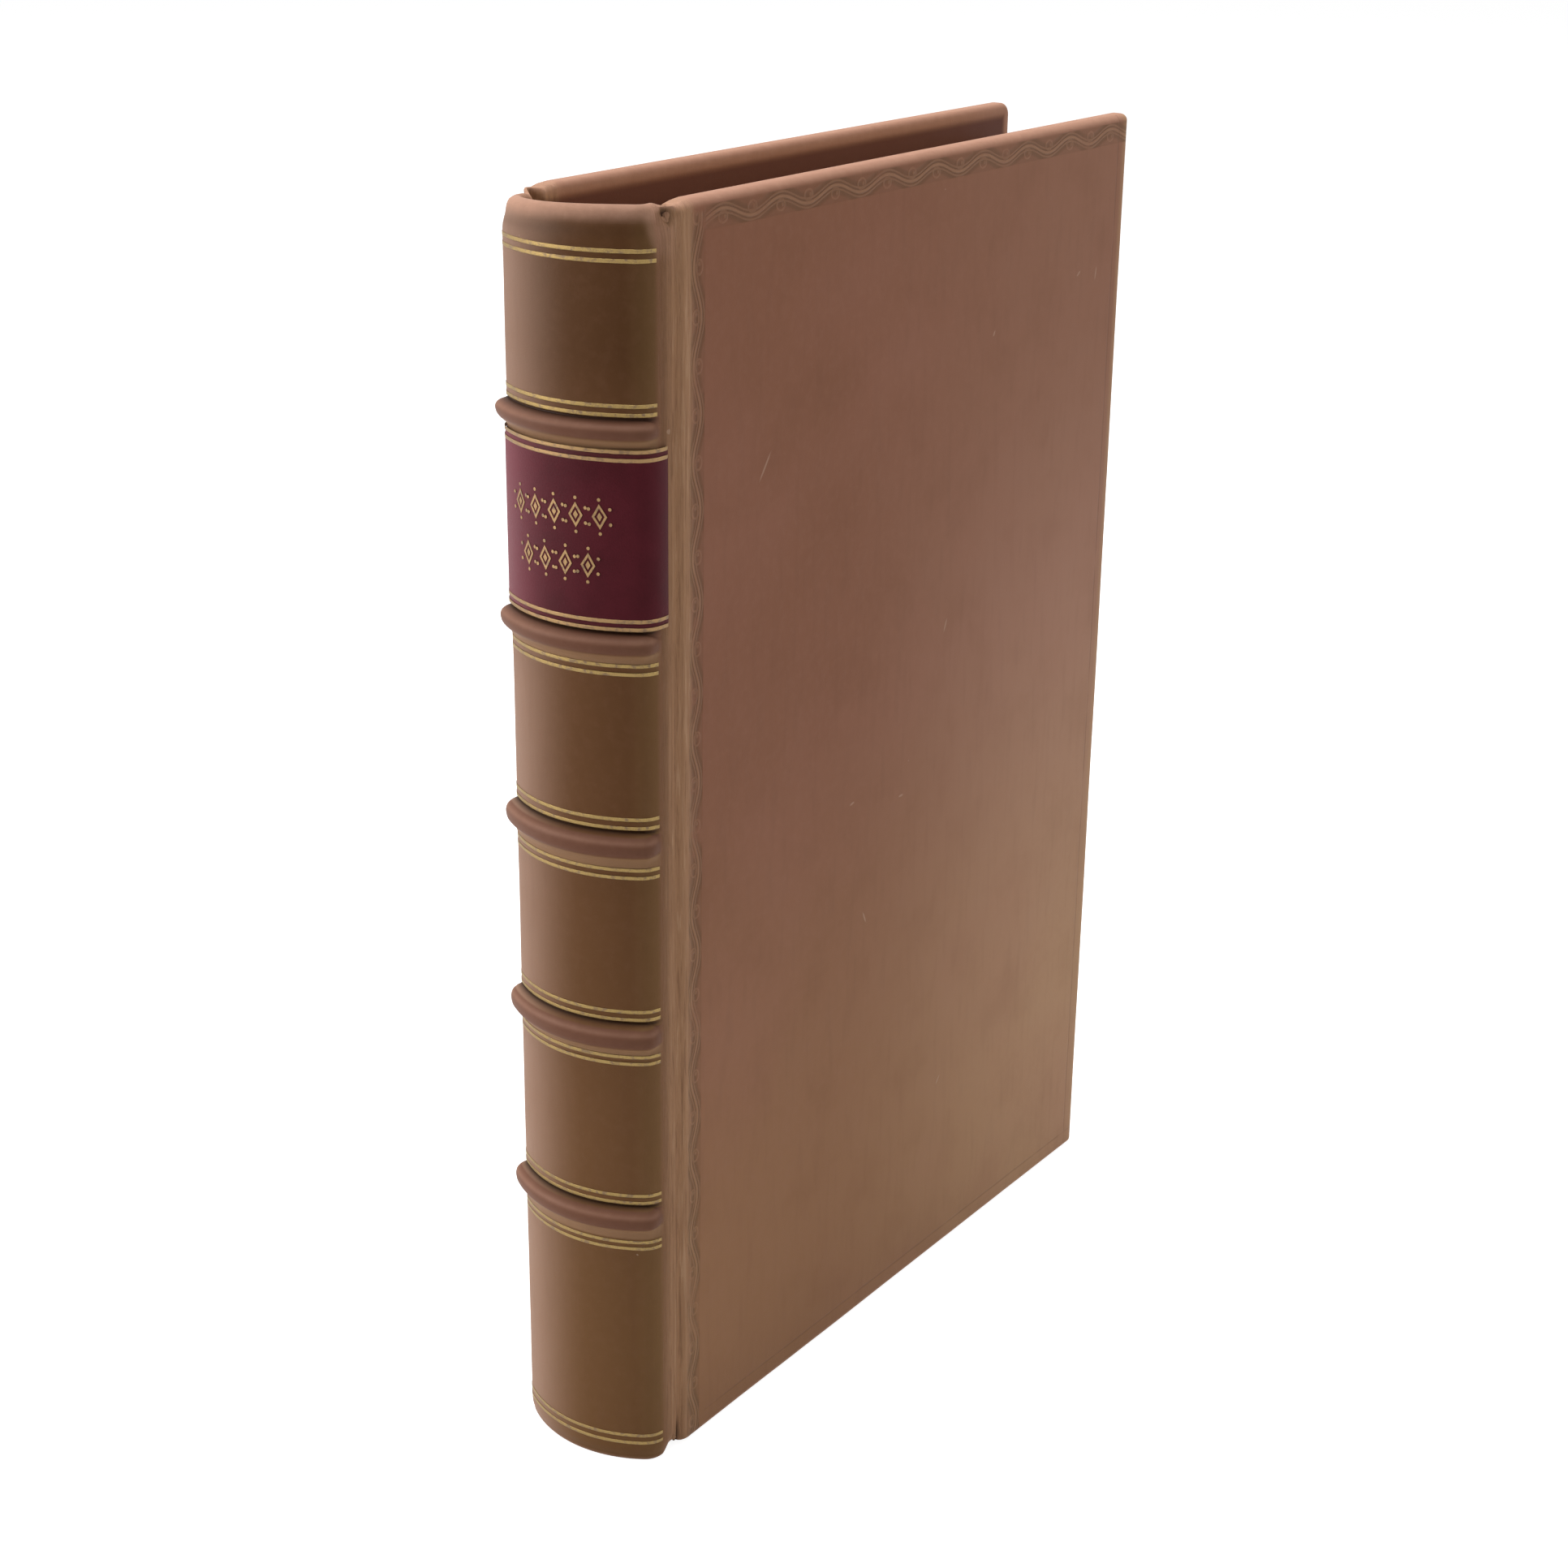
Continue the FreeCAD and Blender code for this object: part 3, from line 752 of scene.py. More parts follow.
class Finish(Graph):
    """A material that ends in one Principled shader."""

    def __init__(self, name, **plain):
        self.material = bpy.data.materials.new(name)
        self.material.use_nodes = True
        super().__init__(self.material.node_tree)
        self.shader = self.tree.nodes.new("ShaderNodeBsdfPrincipled")
        out = self.tree.nodes.new("ShaderNodeOutputMaterial")
        self.tree.links.new(self.shader.outputs[0], out.inputs[0])
        for key, value in plain.items():
            self.shader.inputs[key.replace("_", " ")].default_value = value

    def place(self):
        """Where a point of the leather was at rest, in millimetres."""
        return self.node("ShaderNodeAttribute", {"attribute_name": "place"}, None, 1)

    def note(self, name):
        return self.node("ShaderNodeAttribute", {"attribute_name": name}, None, 2)

    def object_mm(self):
        """Object coordinates in millimetres, for pieces that stay rigid."""
        return self.scaled(self.node("ShaderNodeTexCoord", None, None, 3), (1 / MM, 1 / MM, 1 / MM))

    def axes(self, where):
        parts = self.node("ShaderNodeSeparateXYZ", None, {0: where})
        return [Value(self, socket) for socket in parts.socket.node.outputs]

    def end(self, colour, roughness, relief=None, **more):
        """Links the finish. The relief is in millimetres."""
        links = {"Base Color": colour, "Roughness": roughness, **more}
        if relief is not None:
            inputs = {"Strength": 1.0, "Distance": 1.0, "Height": relief * MM}
            links["Normal"] = self.node("ShaderNodeBump", None, inputs)
        for key, value in links.items():
            self.tree.links.new(value.socket, self.shader.inputs[key])
        return self.material


print("graph ready")

# %% [markdown]
# ## The finish of the calf
#
# Old calf is smooth, in soft clouds of colour: handling has darkened the back and light has bleached
# the edges. Light and shade are painted in as well: the slopes under the bands and the rear side of
# the back are painted lighter, as lit from above and from behind on the left, painted highlights lie
# on the band ledges, the cap rims and the inner top edges, and painted shade fills every crease and
# the inside of the covers. The boards carry blind tooling: a heated brass wheel has pressed a running
# stem with curls along the head and beside the joint, and plain lines along the other edges. Pressed
# leather is darker and shinier, and the stem stands up and stays pale. The roll is a distance from its
# curve, so it is sharp at any size.

# %% The running stem of the blind roll
roll_period = 15.8
roll_swing = 1.0
roll_half = 2.1
head_roll, joint_roll = 3.3, 3.7
plain_line = 4.2
joint_lean = 1.6 / height
cover_marks = [  # each rubbed mark on the front cover: x, z, length and turn
    (-42.0, 181.3, 3.4, 0.95), (17.4, 138.5, 1.6, 1.2), (-13.4, 111.6, 0.9, 0.2),
    (-8.3, 86.8, 1.6, 2.0), (20.5, 40.3, 1.3, 0.9), (3.4, 108.0, 1.0, 0.0),
    (69.3, 198.2, 1.6, 1.4), (62.4, 199.0, 1.0, 0.6), (31.2, 192.2, 0.8, 1.0),
]


def distance(a, b):
    """How far a point is from the middle, from its two offsets."""
    return (a * a + b * b).power(0.5)


def blind_roll(along, across):
    """Two masks of the roll: the pressed ground, and the stem and curls that stay up."""
    middle = across - (along * (2 * math.pi / roll_period)).sine() * roll_swing
    stem = 1 - abs(middle).eased(0.16, 0.42)
    inside = 1 - abs(across).eased(roll_half - 0.25, roll_half)
    curls = []
    for share, side in ((0.25, -1.0), (0.75, 1.0)):
        step = (along - share * roll_period).wrap(roll_period / 2, -roll_period / 2)
        drop = across - side * 0.35
        hook = 1 - abs(distance(step, drop * math.sqrt(1.6)) - 1.15).eased(0.1, 0.32)
        eye = 1 - distance(step - 0.5, drop).eased(0.2, 0.5)
        curls.append(hook.at_least(eye))
    double = 1 - abs(abs(middle) - 0.75).eased(0.08, 0.26)
    raised = stem.at_least(curls[0].at_least(curls[1]) * 0.5).at_least(double * 0.55) * inside
    near = 1 - abs(middle).eased(1.2, 2.4)
    return (inside * near.at_least(0.35) - raised).at_least(0.0), raised


# %% Calf


def calf_finish():
    f = Finish("calf", Specular_IOR_Level=0.1, Coat_Weight=0.02, Coat_Roughness=0.3, IOR=1.45)
    where = f.place()
    x, y, z = f.axes(where)
    wear, crease = f.note("wear"), f.note("crease")
    clouds = f.noise(where, 0.018, 2.0, 0.5, 0.3)
    patches = f.noise(where, 0.07, 3.0, 0.55)
    mottle = f.noise(where, 0.5, 3.0, 0.6)
    fibres = f.noise(f.scaled(where, (1.0, 1.0, 0.16)), 0.5)
    streaks = f.noise(f.scaled(where, (1.5, 0.4, 0.07)), 1.0, 4.0, 0.7, 0.3)
    pores = f.node("ShaderNodeTexVoronoi", {"feature": "F1"}, {"Vector": where, "Scale": 3.2})
    grain = f.noise(where, 5.0, 2.0, 0.6)
    side, above, down, to_fore, upright = abs(y), z, height - z, fore_x - x, x - z * joint_lean
    on_back = 1 - x.eased(crease_x - 1.2, crease_x + 0.8)
    off_back = 1 - on_back

    # The grounds of the boards and of the back. Both are paler near the tail.
    low = 1 - z.eased(15.0, 150.0)
    bleached = x.eased(-25.0, 75.0) * (1 - 0.68 * z.eased(115.0, 200.0))
    cover = f.layers(
        f.mix(low, (0.210, 0.087, 0.048), (0.262, 0.130, 0.063)),
        (bleached * 0.85, f.mix(low, (0.350, 0.190, 0.128), (0.415, 0.245, 0.135))),
        (clouds - 0.5, (0.30, 0.130, 0.092)),
    )
    away = (z - band_levels[0] + band_pitch / 2).wrap(band_pitch, 0.0) - band_pitch / 2
    banded = 1 - abs(z - height * 0.5325).eased(78.0, 80.0)
    band_body = away.eased(-1.2, -0.4) * (1 - away.eased(2.6, 2.9)) * banded
    # The slopes under the bands are painted lighter, as light from above would make them.
    painted_flank_light = away.eased(-3.6, -3.0) * (1 - away.eased(-1.3, -0.6)) * banded
    back = f.layers(
        f.mix(low, (0.101, 0.042, 0.0142), (0.129, 0.060, 0.0210)),
        (clouds.eased(0.4, 0.7) * 0.3, (0.145, 0.064, 0.027)),
        (z.eased(186.0, 206.0) * 0.5, (0.045, 0.016, 0.003)),
        # Painted light: the rear side of the back is painted lighter, where the lamp from behind on the left
        # falls.
        (y.eased(-4.0, 14.0) * 0.55, (0.38, 0.235, 0.172)),
        ((y * -1.0).eased(11.5, 15.6) * 0.42, (0.19, 0.105, 0.040)),
        (band_body * 0.8, (0.125, 0.051, 0.032)),
        (painted_flank_light * 0.85, (0.23, 0.125, 0.064)),
    )

    # The strip of the joint, pale on its ridge and streaked by folding.
    in_joint = (1 - upright.eased(joint_x + 1.2, joint_x + 3.6)) * off_back
    ridge = upright.eased(joint_x - 4.8, joint_x - 1.6)
    joint = f.layers(
        f.mix(ridge, (0.165, 0.080, 0.036), (0.335, 0.182, 0.096)),
        ((1 - streaks.eased(0.34, 0.48)) * 0.55, (0.13, 0.062, 0.03)),
        (streaks.eased(0.54, 0.68) * 0.5 * ridge, (0.46, 0.29, 0.175)),
    )

    # The blind tooling, rubbed away in places.
    on_face = side.eased(joint_face - 0.6, joint_face - 0.3) * off_back
    past = x.eased(joint_x + 7.0, joint_x + 7.6)
    beside = upright.eased(joint_x + 1.4, joint_x + 2.0) * down.eased(1.8, 2.6)
    rubbed = f.noise(where, 0.16, 3.0, 0.6).eased(0.22, 0.52)
    rolls = zip(blind_roll(x - joint_x, down - head_roll), blind_roll(z, upright - (joint_x + joint_roll)))
    at_head = past * (0.35 + 0.65 * rubbed) * on_face
    at_joint = beside * rubbed * on_face
    ground, stem = (head_mask * at_head + joint_mask * at_joint for head_mask, joint_mask in rolls)
    line = (1 - abs(to_fore - plain_line).eased(0.12, 0.3)).at_least(1 - abs(above - plain_line).eased(0.12, 0.3))
    line = line * on_face * past * rubbed * 0.5

    # Rubbed marks, on the front cover alone, and a few pale specks all over.
    marks = None
    for mark_x, mark_z, long, turn in cover_marks:
        across, up = x - mark_x, z - mark_z
        along = across * math.cos(turn) + up * math.sin(turn)
        aside = up * math.cos(turn) - across * math.sin(turn)
        mark = 1 - distance(along * (1 / long), aside * math.sqrt(12.0)).eased(0.5, 1.0)
        marks = mark if marks is None else marks.at_least(mark)
    marks = marks * on_face * (1 - y.eased(-1.0, 1.0))
    specks = f.noise(where, 0.45, 1.0, 0.4).eased(0.82, 0.84).at_least(marks)

    # Painted shade on the inner faces of the covers, fading in away from the head, tail and fore-edge.
    painted_inside_shade = (1 - side.eased(turn_in_face + 0.5, turn_in_face + 1.2)) * off_back
    inset = down.at_most(to_fore).at_most(z)
    colour = f.layers(
        f.mix(on_back, cover, back),
        (in_joint * 0.9, joint),
        ((patches - 0.5) * (0.5 - 0.25 * on_back), (0.13, 0.058, 0.03)),
        (mottle.eased(0.4, 0.75) * (0.10 - 0.06 * on_back), (0.30, 0.15, 0.10)),
        (fibres.eased(0.45, 0.8) * 0.08, (0.10, 0.045, 0.025)),
        # Pale wear together with painted highlights on the band ledges, the cap rims and the inner top edges.
        (wear * (0.65 + 0.5 * mottle).at_most(1.0) * 0.66, (0.47, 0.265, 0.185)),
        # Painted shade in the creases, nips, pit and slit, from the crease note.
        (crease * 0.92, (0.022, 0.009, 0.004)),
        (painted_inside_shade * inset.eased(1.8, 3.3) * 0.88, (0.085, 0.027, 0.017)),
        ((1 - to_fore.eased(1.6, 3.2)) * on_face * 0.4, (0.42, 0.26, 0.135)),
        (ground * 0.5, (0.085, 0.046, 0.018)),
        (stem * 0.3, (0.34, 0.21, 0.115)),
        (line * 0.4, (0.09, 0.045, 0.03)),
        (specks * 0.35, (0.46, 0.32, 0.23)),
    )
    relief = (0.5 - pores) * 0.012 + grain * 0.015 + mottle * 0.02 + fibres * 0.02
    relief = relief + stem * 0.06 - ground * 0.09 - line * 0.12 - specks * 0.03
    relief = relief + streaks.eased(0.34, 0.68) * in_joint * 0.10
    rough = 0.48 + 0.14 * patches + 0.1 * wear - 0.03 * ground + 0.06 * mottle
    return f.end(colour, rough, relief)


calf = calf_finish()
print(f"calf: {len(calf.node_tree.nodes)} nodes")

# %% [markdown]
# ## The other finishes
#
# Each is short: the burgundy skin of the label with a fine grain, gold leaf that is broken where the
# leather moved under it, the paper edges with one thin line for each few leaves, millboard with its
# fibres, laid endpapers with a little foxing, grey lining paper, twisted hemp and two silks.

# %% Label leather, gold and silk


def label_finish():
    f = Finish("label_leather", Specular_IOR_Level=0.09)
    where = f.place()
    clouds = f.noise(where, 0.1, 3.0)
    grain = f.noise(where, 3.0, 3.0, 0.6)
    colour = f.layers(
        f.mix(clouds.eased(0.25, 0.75), (0.051, 0.0038, 0.0072), (0.074, 0.0072, 0.0128)),
        (grain.eased(0.5, 0.8) * 0.25, (0.025, 0.002, 0.004)),
        (f.note("wear") * 0.4, (0.13, 0.05, 0.04)),
        # Painted light: the rear side of the label is painted lighter, as the lamp on the left would make it.
        (f.axes(where)[1].eased(0.0, 14.0) * 0.6, (0.22, 0.062, 0.078)),
    )
    return f.end(colour, 0.42 + 0.18 * clouds, grain * 0.04 + clouds * 0.05)


def gold_finish():
    f = Finish("gold_leaf", Specular_IOR_Level=0.5)
    where = f.object_mm()
    worn = f.noise(where, 1.1, 4.0, 0.65).eased(0.5, 0.66)
    fine = f.noise(where, 5.0, 2.0, 0.6)
    on_label = 1 - abs(f.axes(where)[2] - (label_low[2] + label_high[2]) / 2).eased(15.0, 15.6)
    colour = f.layers(
        f.mix(fine, (0.185, 0.112, 0.034), (0.365, 0.26, 0.105)),
        (on_label * 0.5, (0.27, 0.15, 0.085)),
        (worn * 0.8, (0.16, 0.085, 0.035)),
    )
    return f.end(colour, 0.38 + 0.22 * fine, fine * 0.05, Metallic=0.9 - worn * 0.85)


def silk_finish():
    f = Finish("endband_silk", Sheen_Weight=0.3, Specular_IOR_Level=0.4)
    dirt = f.noise(f.object_mm(), 0.4)
    colour = f.mix(f.note("second_silk"), (0.52, 0.43, 0.29), (0.20, 0.045, 0.03))
    return f.end(f.mix(dirt * 0.4, colour, (0.16, 0.1, 0.06)), 0.5 + 0.2 * dirt)


label_skin, gold, silk = label_finish(), gold_finish(), silk_finish()
print("label, gold and silk ready")

# %% Paper, board and hemp
foxed = (0.36, 0.2, 0.09)
chain_pitch, laid_pitch = 24.0, 1.1


def leaf_finish():
    f = Finish("leaves", Specular_IOR_Level=0.25)
    where = f.object_mm()
    lines = f.noise(f.scaled(where, (0.05, 7.0, 0.05)), 1.0, 2.0, 0.7)
    age = f.noise(where, 0.05, 3.0)
    flyleaf = abs(f.axes(where)[1]).eased(leaves_high[1] - 0.06, leaves_high[1] - 0.03)
    plain = f.mix(age, (0.55, 0.44, 0.29), (0.66, 0.56, 0.41))
    foxing = f.noise(where, 0.16).eased(0.68, 0.78)
    colour = f.layers(
        f.mix(lines.eased(0.3, 0.7), (0.40, 0.29, 0.17), (0.66, 0.54, 0.37)),
        (age.eased(0.45, 0.8) * 0.4, (0.34, 0.22, 0.12)),
        (flyleaf, f.mix(foxing * 0.4, plain, foxed)),
    )
    return f.end(colour, 0.8 + 0.1 * lines, lines * 0.08 * (1 - flyleaf))


def endpaper_finish():
    f = Finish("endpaper", Specular_IOR_Level=0.25)
    where = f.object_mm()
    x, y, z = f.axes(where)
    chain = (x * (2 * math.pi / chain_pitch)).sine().eased(0.985, 1.0)
    laid = (z * (2 * math.pi / laid_pitch)).sine()
    cloud = f.noise(where, 0.03, 3.0)
    stain = 1 - (height / 2 - abs(z - height / 2)).at_most(fore_x - x).eased(4.0, 34.0)
    colour = f.layers(
        f.mix(cloud, (0.60, 0.49, 0.33), (0.72, 0.62, 0.46)),
        (stain * 0.55, (0.42, 0.27, 0.14)),
        (f.noise(where, 0.16).eased(0.66, 0.76) * 0.5, foxed),
        (chain * 0.15, (0.45, 0.35, 0.22)),
    )
    return f.end(colour, 0.78 + 0.12 * cloud, laid * 0.008 + cloud * 0.2)


def fibre_finish(name, stretch, scale, detail, dark, light, deep, gloss=0.2, rough=0.85, twist=0.0):
    """A dull finish of fibres. A cord's are twisted."""
    f = Finish(name, Specular_IOR_Level=gloss)
    where = f.object_mm()
    fibres = f.noise(f.scaled(where, stretch), scale, detail, 0.7)
    relief = fibres * deep
    if twist:
        x, y, z = f.axes(where)
        relief = relief + ((y + z * 1.4) * 3.4).sine() * twist
    return f.end(f.mix(fibres, dark, light), rough + 0.1 * fibres, relief)


even = (1.0, 1.0, 1.0)
hemp = fibre_finish("hemp_cord", even, 3.0, 3.0, (0.36, 0.27, 0.16), (0.58, 0.47, 0.31), 0.05, 0.25, 0.8, 0.12)
node_finishes = {
    "board": fibre_finish("millboard", (1.0, 3.0, 0.4), 1.2, 4.0, (0.20, 0.155, 0.11), (0.34, 0.28, 0.21), 0.1),
    "pastedown": endpaper_finish(),
    "spine_lining": fibre_finish("lining_paper", even, 0.8, 4.0, (0.36, 0.31, 0.24), (0.52, 0.46, 0.36), 0.06),
    "sewing_cord": hemp,
    "slip": hemp,
}
leaf_edges = leaf_finish()
print("paper, board and hemp ready")

# %% [markdown]
# ## Gold fillets by Geometry Nodes
#
# A fillet is a line rolled in gold leaf with a wheel. Twenty-four of these run round the back in
# pairs: near head and tail, on each side of every band, and over the label's edges. They all follow
# the same rule, so one Geometry Nodes tree makes them: it takes the bare lines, sweeps a thin flat
# strip along each, and lets noise fray the edges, as leaf never takes quite evenly.

# %% Helpers for the trees


def new_tree(name, **inputs):
    """A Geometry Nodes tree with named inputs, and the values that they give."""
    tree = bpy.data.node_groups.new(name, "GeometryNodeTree")
    tree.interface.new_socket("Geometry", in_out="OUTPUT", socket_type="NodeSocketGeometry")
    for label, kind in {"Geometry": "Geometry", **inputs}.items():
        tree.interface.new_socket(label, in_out="INPUT", socket_type="NodeSocket" + kind)
    g = Graph(tree)
    entry = tree.nodes.new("NodeGroupInput")
    return g, {s.name: Value(g, s) for s in entry.outputs if s.name}


def finish_tree(g, geometry, material):
    """The tree's end: real geometry, with its material."""
    real = g.node("GeometryNodeRealizeInstances", None, {"Geometry": geometry})
    done = g.node("GeometryNodeSetMaterial", None, {"Geometry": real, "Material": material})
    g.tree.links.new(done.socket, g.tree.nodes.new("NodeGroupOutput").inputs[0])
    return g.tree


def upright_towards(g, way):
    """A rotation that keeps Y upright and turns Z towards a direction."""
    upright = g.node("FunctionNodeAlignRotationToVector", {"axis": "Y"}, {"Vector": (0.0, 0.0, 1.0)})
    turned = {"Rotation": upright, "Vector": way}
    return g.node("FunctionNodeAlignRotationToVector", {"axis": "Z", "pivot_axis": "Y"}, turned)


def lines_mesh(name, paths):
    """Bare lines as the edges of a mesh."""
    points, edges = [], []
    for path in paths:
        first = len(points)
        points += [tuple(np.array(p) * MM) for p in path]
        edges += [(i, i + 1) for i in range(first, len(points) - 1)]
    mesh = bpy.data.meshes.new(name)
    mesh.from_pydata(points, edges, [])
    return mesh


def grow(name, base, tree, values, material):
    """Runs a tree on a base mesh and keeps the result as a plain mesh."""
    host = add_object(name + "_base", base)
    modifier = host.modifiers.new(name, "NODES")
    modifier.node_group = tree
    for item in tree.interface.items_tree:
        if item.in_out == "INPUT" and item.name in values:
            modifier[item.identifier] = values[item.name]
    bpy.context.view_layer.update()
    evaluated = host.evaluated_get(bpy.context.evaluated_depsgraph_get())
    mesh = bpy.data.meshes.new_from_object(evaluated)
    host.modifiers.remove(modifier)
    bpy.data.objects.remove(host)
    mesh.name = name
    mesh.materials.clear()
    mesh.materials.append(material)
    print(f"{name}: {len(mesh.polygons)} faces")
    return add_object(name, mesh)


# %% The fillet tree
fillet_width = 0.68
fillet_depth = 0.05
fillet_lift = 0.03


def fillet_tree():
    g, given = new_tree("fillets", Width="Float", Thickness="Float", Fray="Float", Seed="Float")
    lines = g.node("GeometryNodeMeshToCurve", None, {"Mesh": given["Geometry"]})
    lines = g.node("GeometryNodeSetCurveNormal", {"mode": "Z_UP"}, {"Curve": lines})
    size = {"Width": given["Thickness"], "Height": given["Width"]}
    strip = g.node("GeometryNodeCurvePrimitiveQuadrilateral", None, size)
    strip = g.node("GeometryNodeResampleCurve", None, {"Curve": strip, "Count": 12})
    strip_rim_wear_and_light = g.node("GeometryNodeCurveToMesh", None, {"Curve": lines, "Profile Curve": strip, "Fill Caps": True})
    random = {"Vector": g.node("GeometryNodeInputPosition"), "W": given["Seed"], "Scale": 900.0, "Detail": 2.0}
    shift = g.node("ShaderNodeTexNoise", {"noise_dimensions": "4D"}, random)
    offset = g.node("ShaderNodeCombineXYZ", None, {"Z": (shift - 0.5) * 2.0 * given["Fray"]})
    moved = g.node("GeometryNodeSetPosition", None, {"Geometry": strip_rim_wear_and_light, "Offset": offset})
    return finish_tree(g, moved, gold)


around = spine_stations(121)
paths = [on_spine(around[2:-2], fillet_lift, level) for level in plain_levels]
for level in label_levels:
    wing = [
        (crease_x + label_overlap - w, joint_face + 0.42 * wing_rise(w) + fillet_lift, level)
        for w in (0.25, 0.65, 1.2, 1.8)
    ]
    front = [(x, -y, z) for x, y, z in wing]
    paths.append(np.vstack([front, on_spine(around[1:-1], 0.44, level), wing[::-1]]))
fillets = grow("gold_fillets", lines_mesh("fillet_lines", paths), fillet_tree(), {
    "Width": fillet_width * MM, "Thickness": fillet_depth * MM, "Fray": 0.06 * MM, "Seed": 4.0,
}, gold)
print(f"{len(paths)} fillets, box {[round(v / MM, 2) for v in fillets.dimensions]}")

# %% [markdown]
# ## Ornaments on the label
#
# A label carries tooling between its fillets. Here it has two rows of a plain binder's lozenge with
# dots between, one stamp repeated, which is what Geometry Nodes instances are for: the tree sets the
# stamp on each point of a row and turns it to face outwards.

# %% The stamp and its rows
stamp_top, stamp_depth = 0.03, 0.05
stamp_dots = ((0, 2.8), (0, -2.8), (1.8, 1.25), (-1.8, 1.25), (1.8, -1.25), (-1.8, -1.25))


def stamp_mesh():
    """One lozenge with a smaller one in its hollow, and six dots round it, lying in the XY plane."""
    bm = bmesh.new()

    def corners(outline):
        return [bm.verts.new((a, b, stamp_top)) for a, b in outline]

    for wide, tall, hole in ((1.3, 2.1, 0.66), (0.45, 0.75, 0.05)):
        outline = [(wide, 0), (0, tall), (-wide, 0), (0, -tall)]
        outer, inner = corners(outline), corners([(a * hole, b * hole) for a, b in outline])
        for i in range(4):
            k = (i + 1) % 4
            bm.faces.new((outer[i], outer[k], inner[k], inner[i]))
    turns = np.linspace(0, 2 * math.pi, 9)[:-1]
    for cx, cy in stamp_dots:
        bm.faces.new(corners([(cx + 0.3 * math.cos(a), cy + 0.3 * math.sin(a)) for a in turns]))
    solid = bmesh.ops.extrude_face_region(bm, geom=list(bm.faces))
    raised = [v for v in solid["geom"] if isinstance(v, bmesh.types.BMVert)]
    bmesh.ops.translate(bm, verts=raised, vec=(0, 0, -stamp_depth))
    bmesh.ops.recalc_face_normals(bm, faces=bm.faces)
    mesh = bpy.data.meshes.new("stamp")
    bm.to_mesh(mesh)
    bm.free()
    mesh.transform(Matrix.Scale(MM, 4))
    return add_object("stamp", mesh)


def stamp_tree(stamp):
    """Stamps along each row of the base mesh, upright and facing away from the spine's centre."""
    g, given = new_tree("stamps", Pitch="Float", Centre="Vector", Turn="Float", Seed="Int")
    rows = g.node("GeometryNodeMeshToCurve", None, {"Mesh": given["Geometry"]})
    spots = g.node("GeometryNodeResampleCurve", {"mode": "LENGTH"}, {"Curve": rows, "Length": given["Pitch"]})
    struck = g.node("GeometryNodeObjectInfo", {"transform_space": "ORIGINAL"}, {"Object": stamp}, "Geometry")
    where = {0: g.node("GeometryNodeInputPosition"), 1: given["Centre"]}
    away = g.scaled(g.node("ShaderNodeVectorMath", {"operation": "SUBTRACT"}, where), (1.0, 1.0, 0.0))
    limits = {2: given["Turn"] * -1.0, 3: given["Turn"], 8: given["Seed"]}
    slip = g.node("FunctionNodeRandomValue", {"data_type": "FLOAT"}, limits, 1)
    lean = g.node("ShaderNodeCombineXYZ", None, {"Z": slip})
    turned = {0: upright_towards(g, away), 1: lean}
    struck_at = g.node("FunctionNodeRotateRotation", {"rotation_space": "LOCAL"}, turned)
    placed = {"Points": spots, "Instance": struck, "Rotation": struck_at}
    return finish_tree(g, g.node("GeometryNodeInstanceOnPoints", None, placed), gold)


crown_x, _, crown_radius, _ = spine_stations(3)[1]
ornament_rows = ((178.9, 8.4), (170.7, 6.3))
stamp_pitch = 4.2 * 0.995
reach = crown_radius + 0.46
rows = []
for level, half_row in ornament_rows:
    spread = np.linspace(-half_row, half_row, 41) / reach
    rows.append([(crown_x - reach * math.cos(a), reach * math.sin(a), level) for a in spread])
stamp = stamp_mesh()
ornaments = grow("label_ornaments", lines_mesh("ornament_rows", rows), stamp_tree(stamp), {
    "Pitch": stamp_pitch * MM, "Centre": (crown_x * MM, 0.0, 0.0), "Turn": 0.05, "Seed": 3,
}, gold)
bpy.data.objects.remove(stamp)

# %% [markdown]
# ## Endbands by Geometry Nodes
#
# An endband is a strip of cord at the end of the back, wound with two silks in turn. The tree winds
# it: points along the arc, on each a loop of thread with the section of the band, every other loop
# marked for the second silk.

# %% Wind the endbands
thread_radius = 0.24
thread_pitch = 0.5
endband_width = 2.0


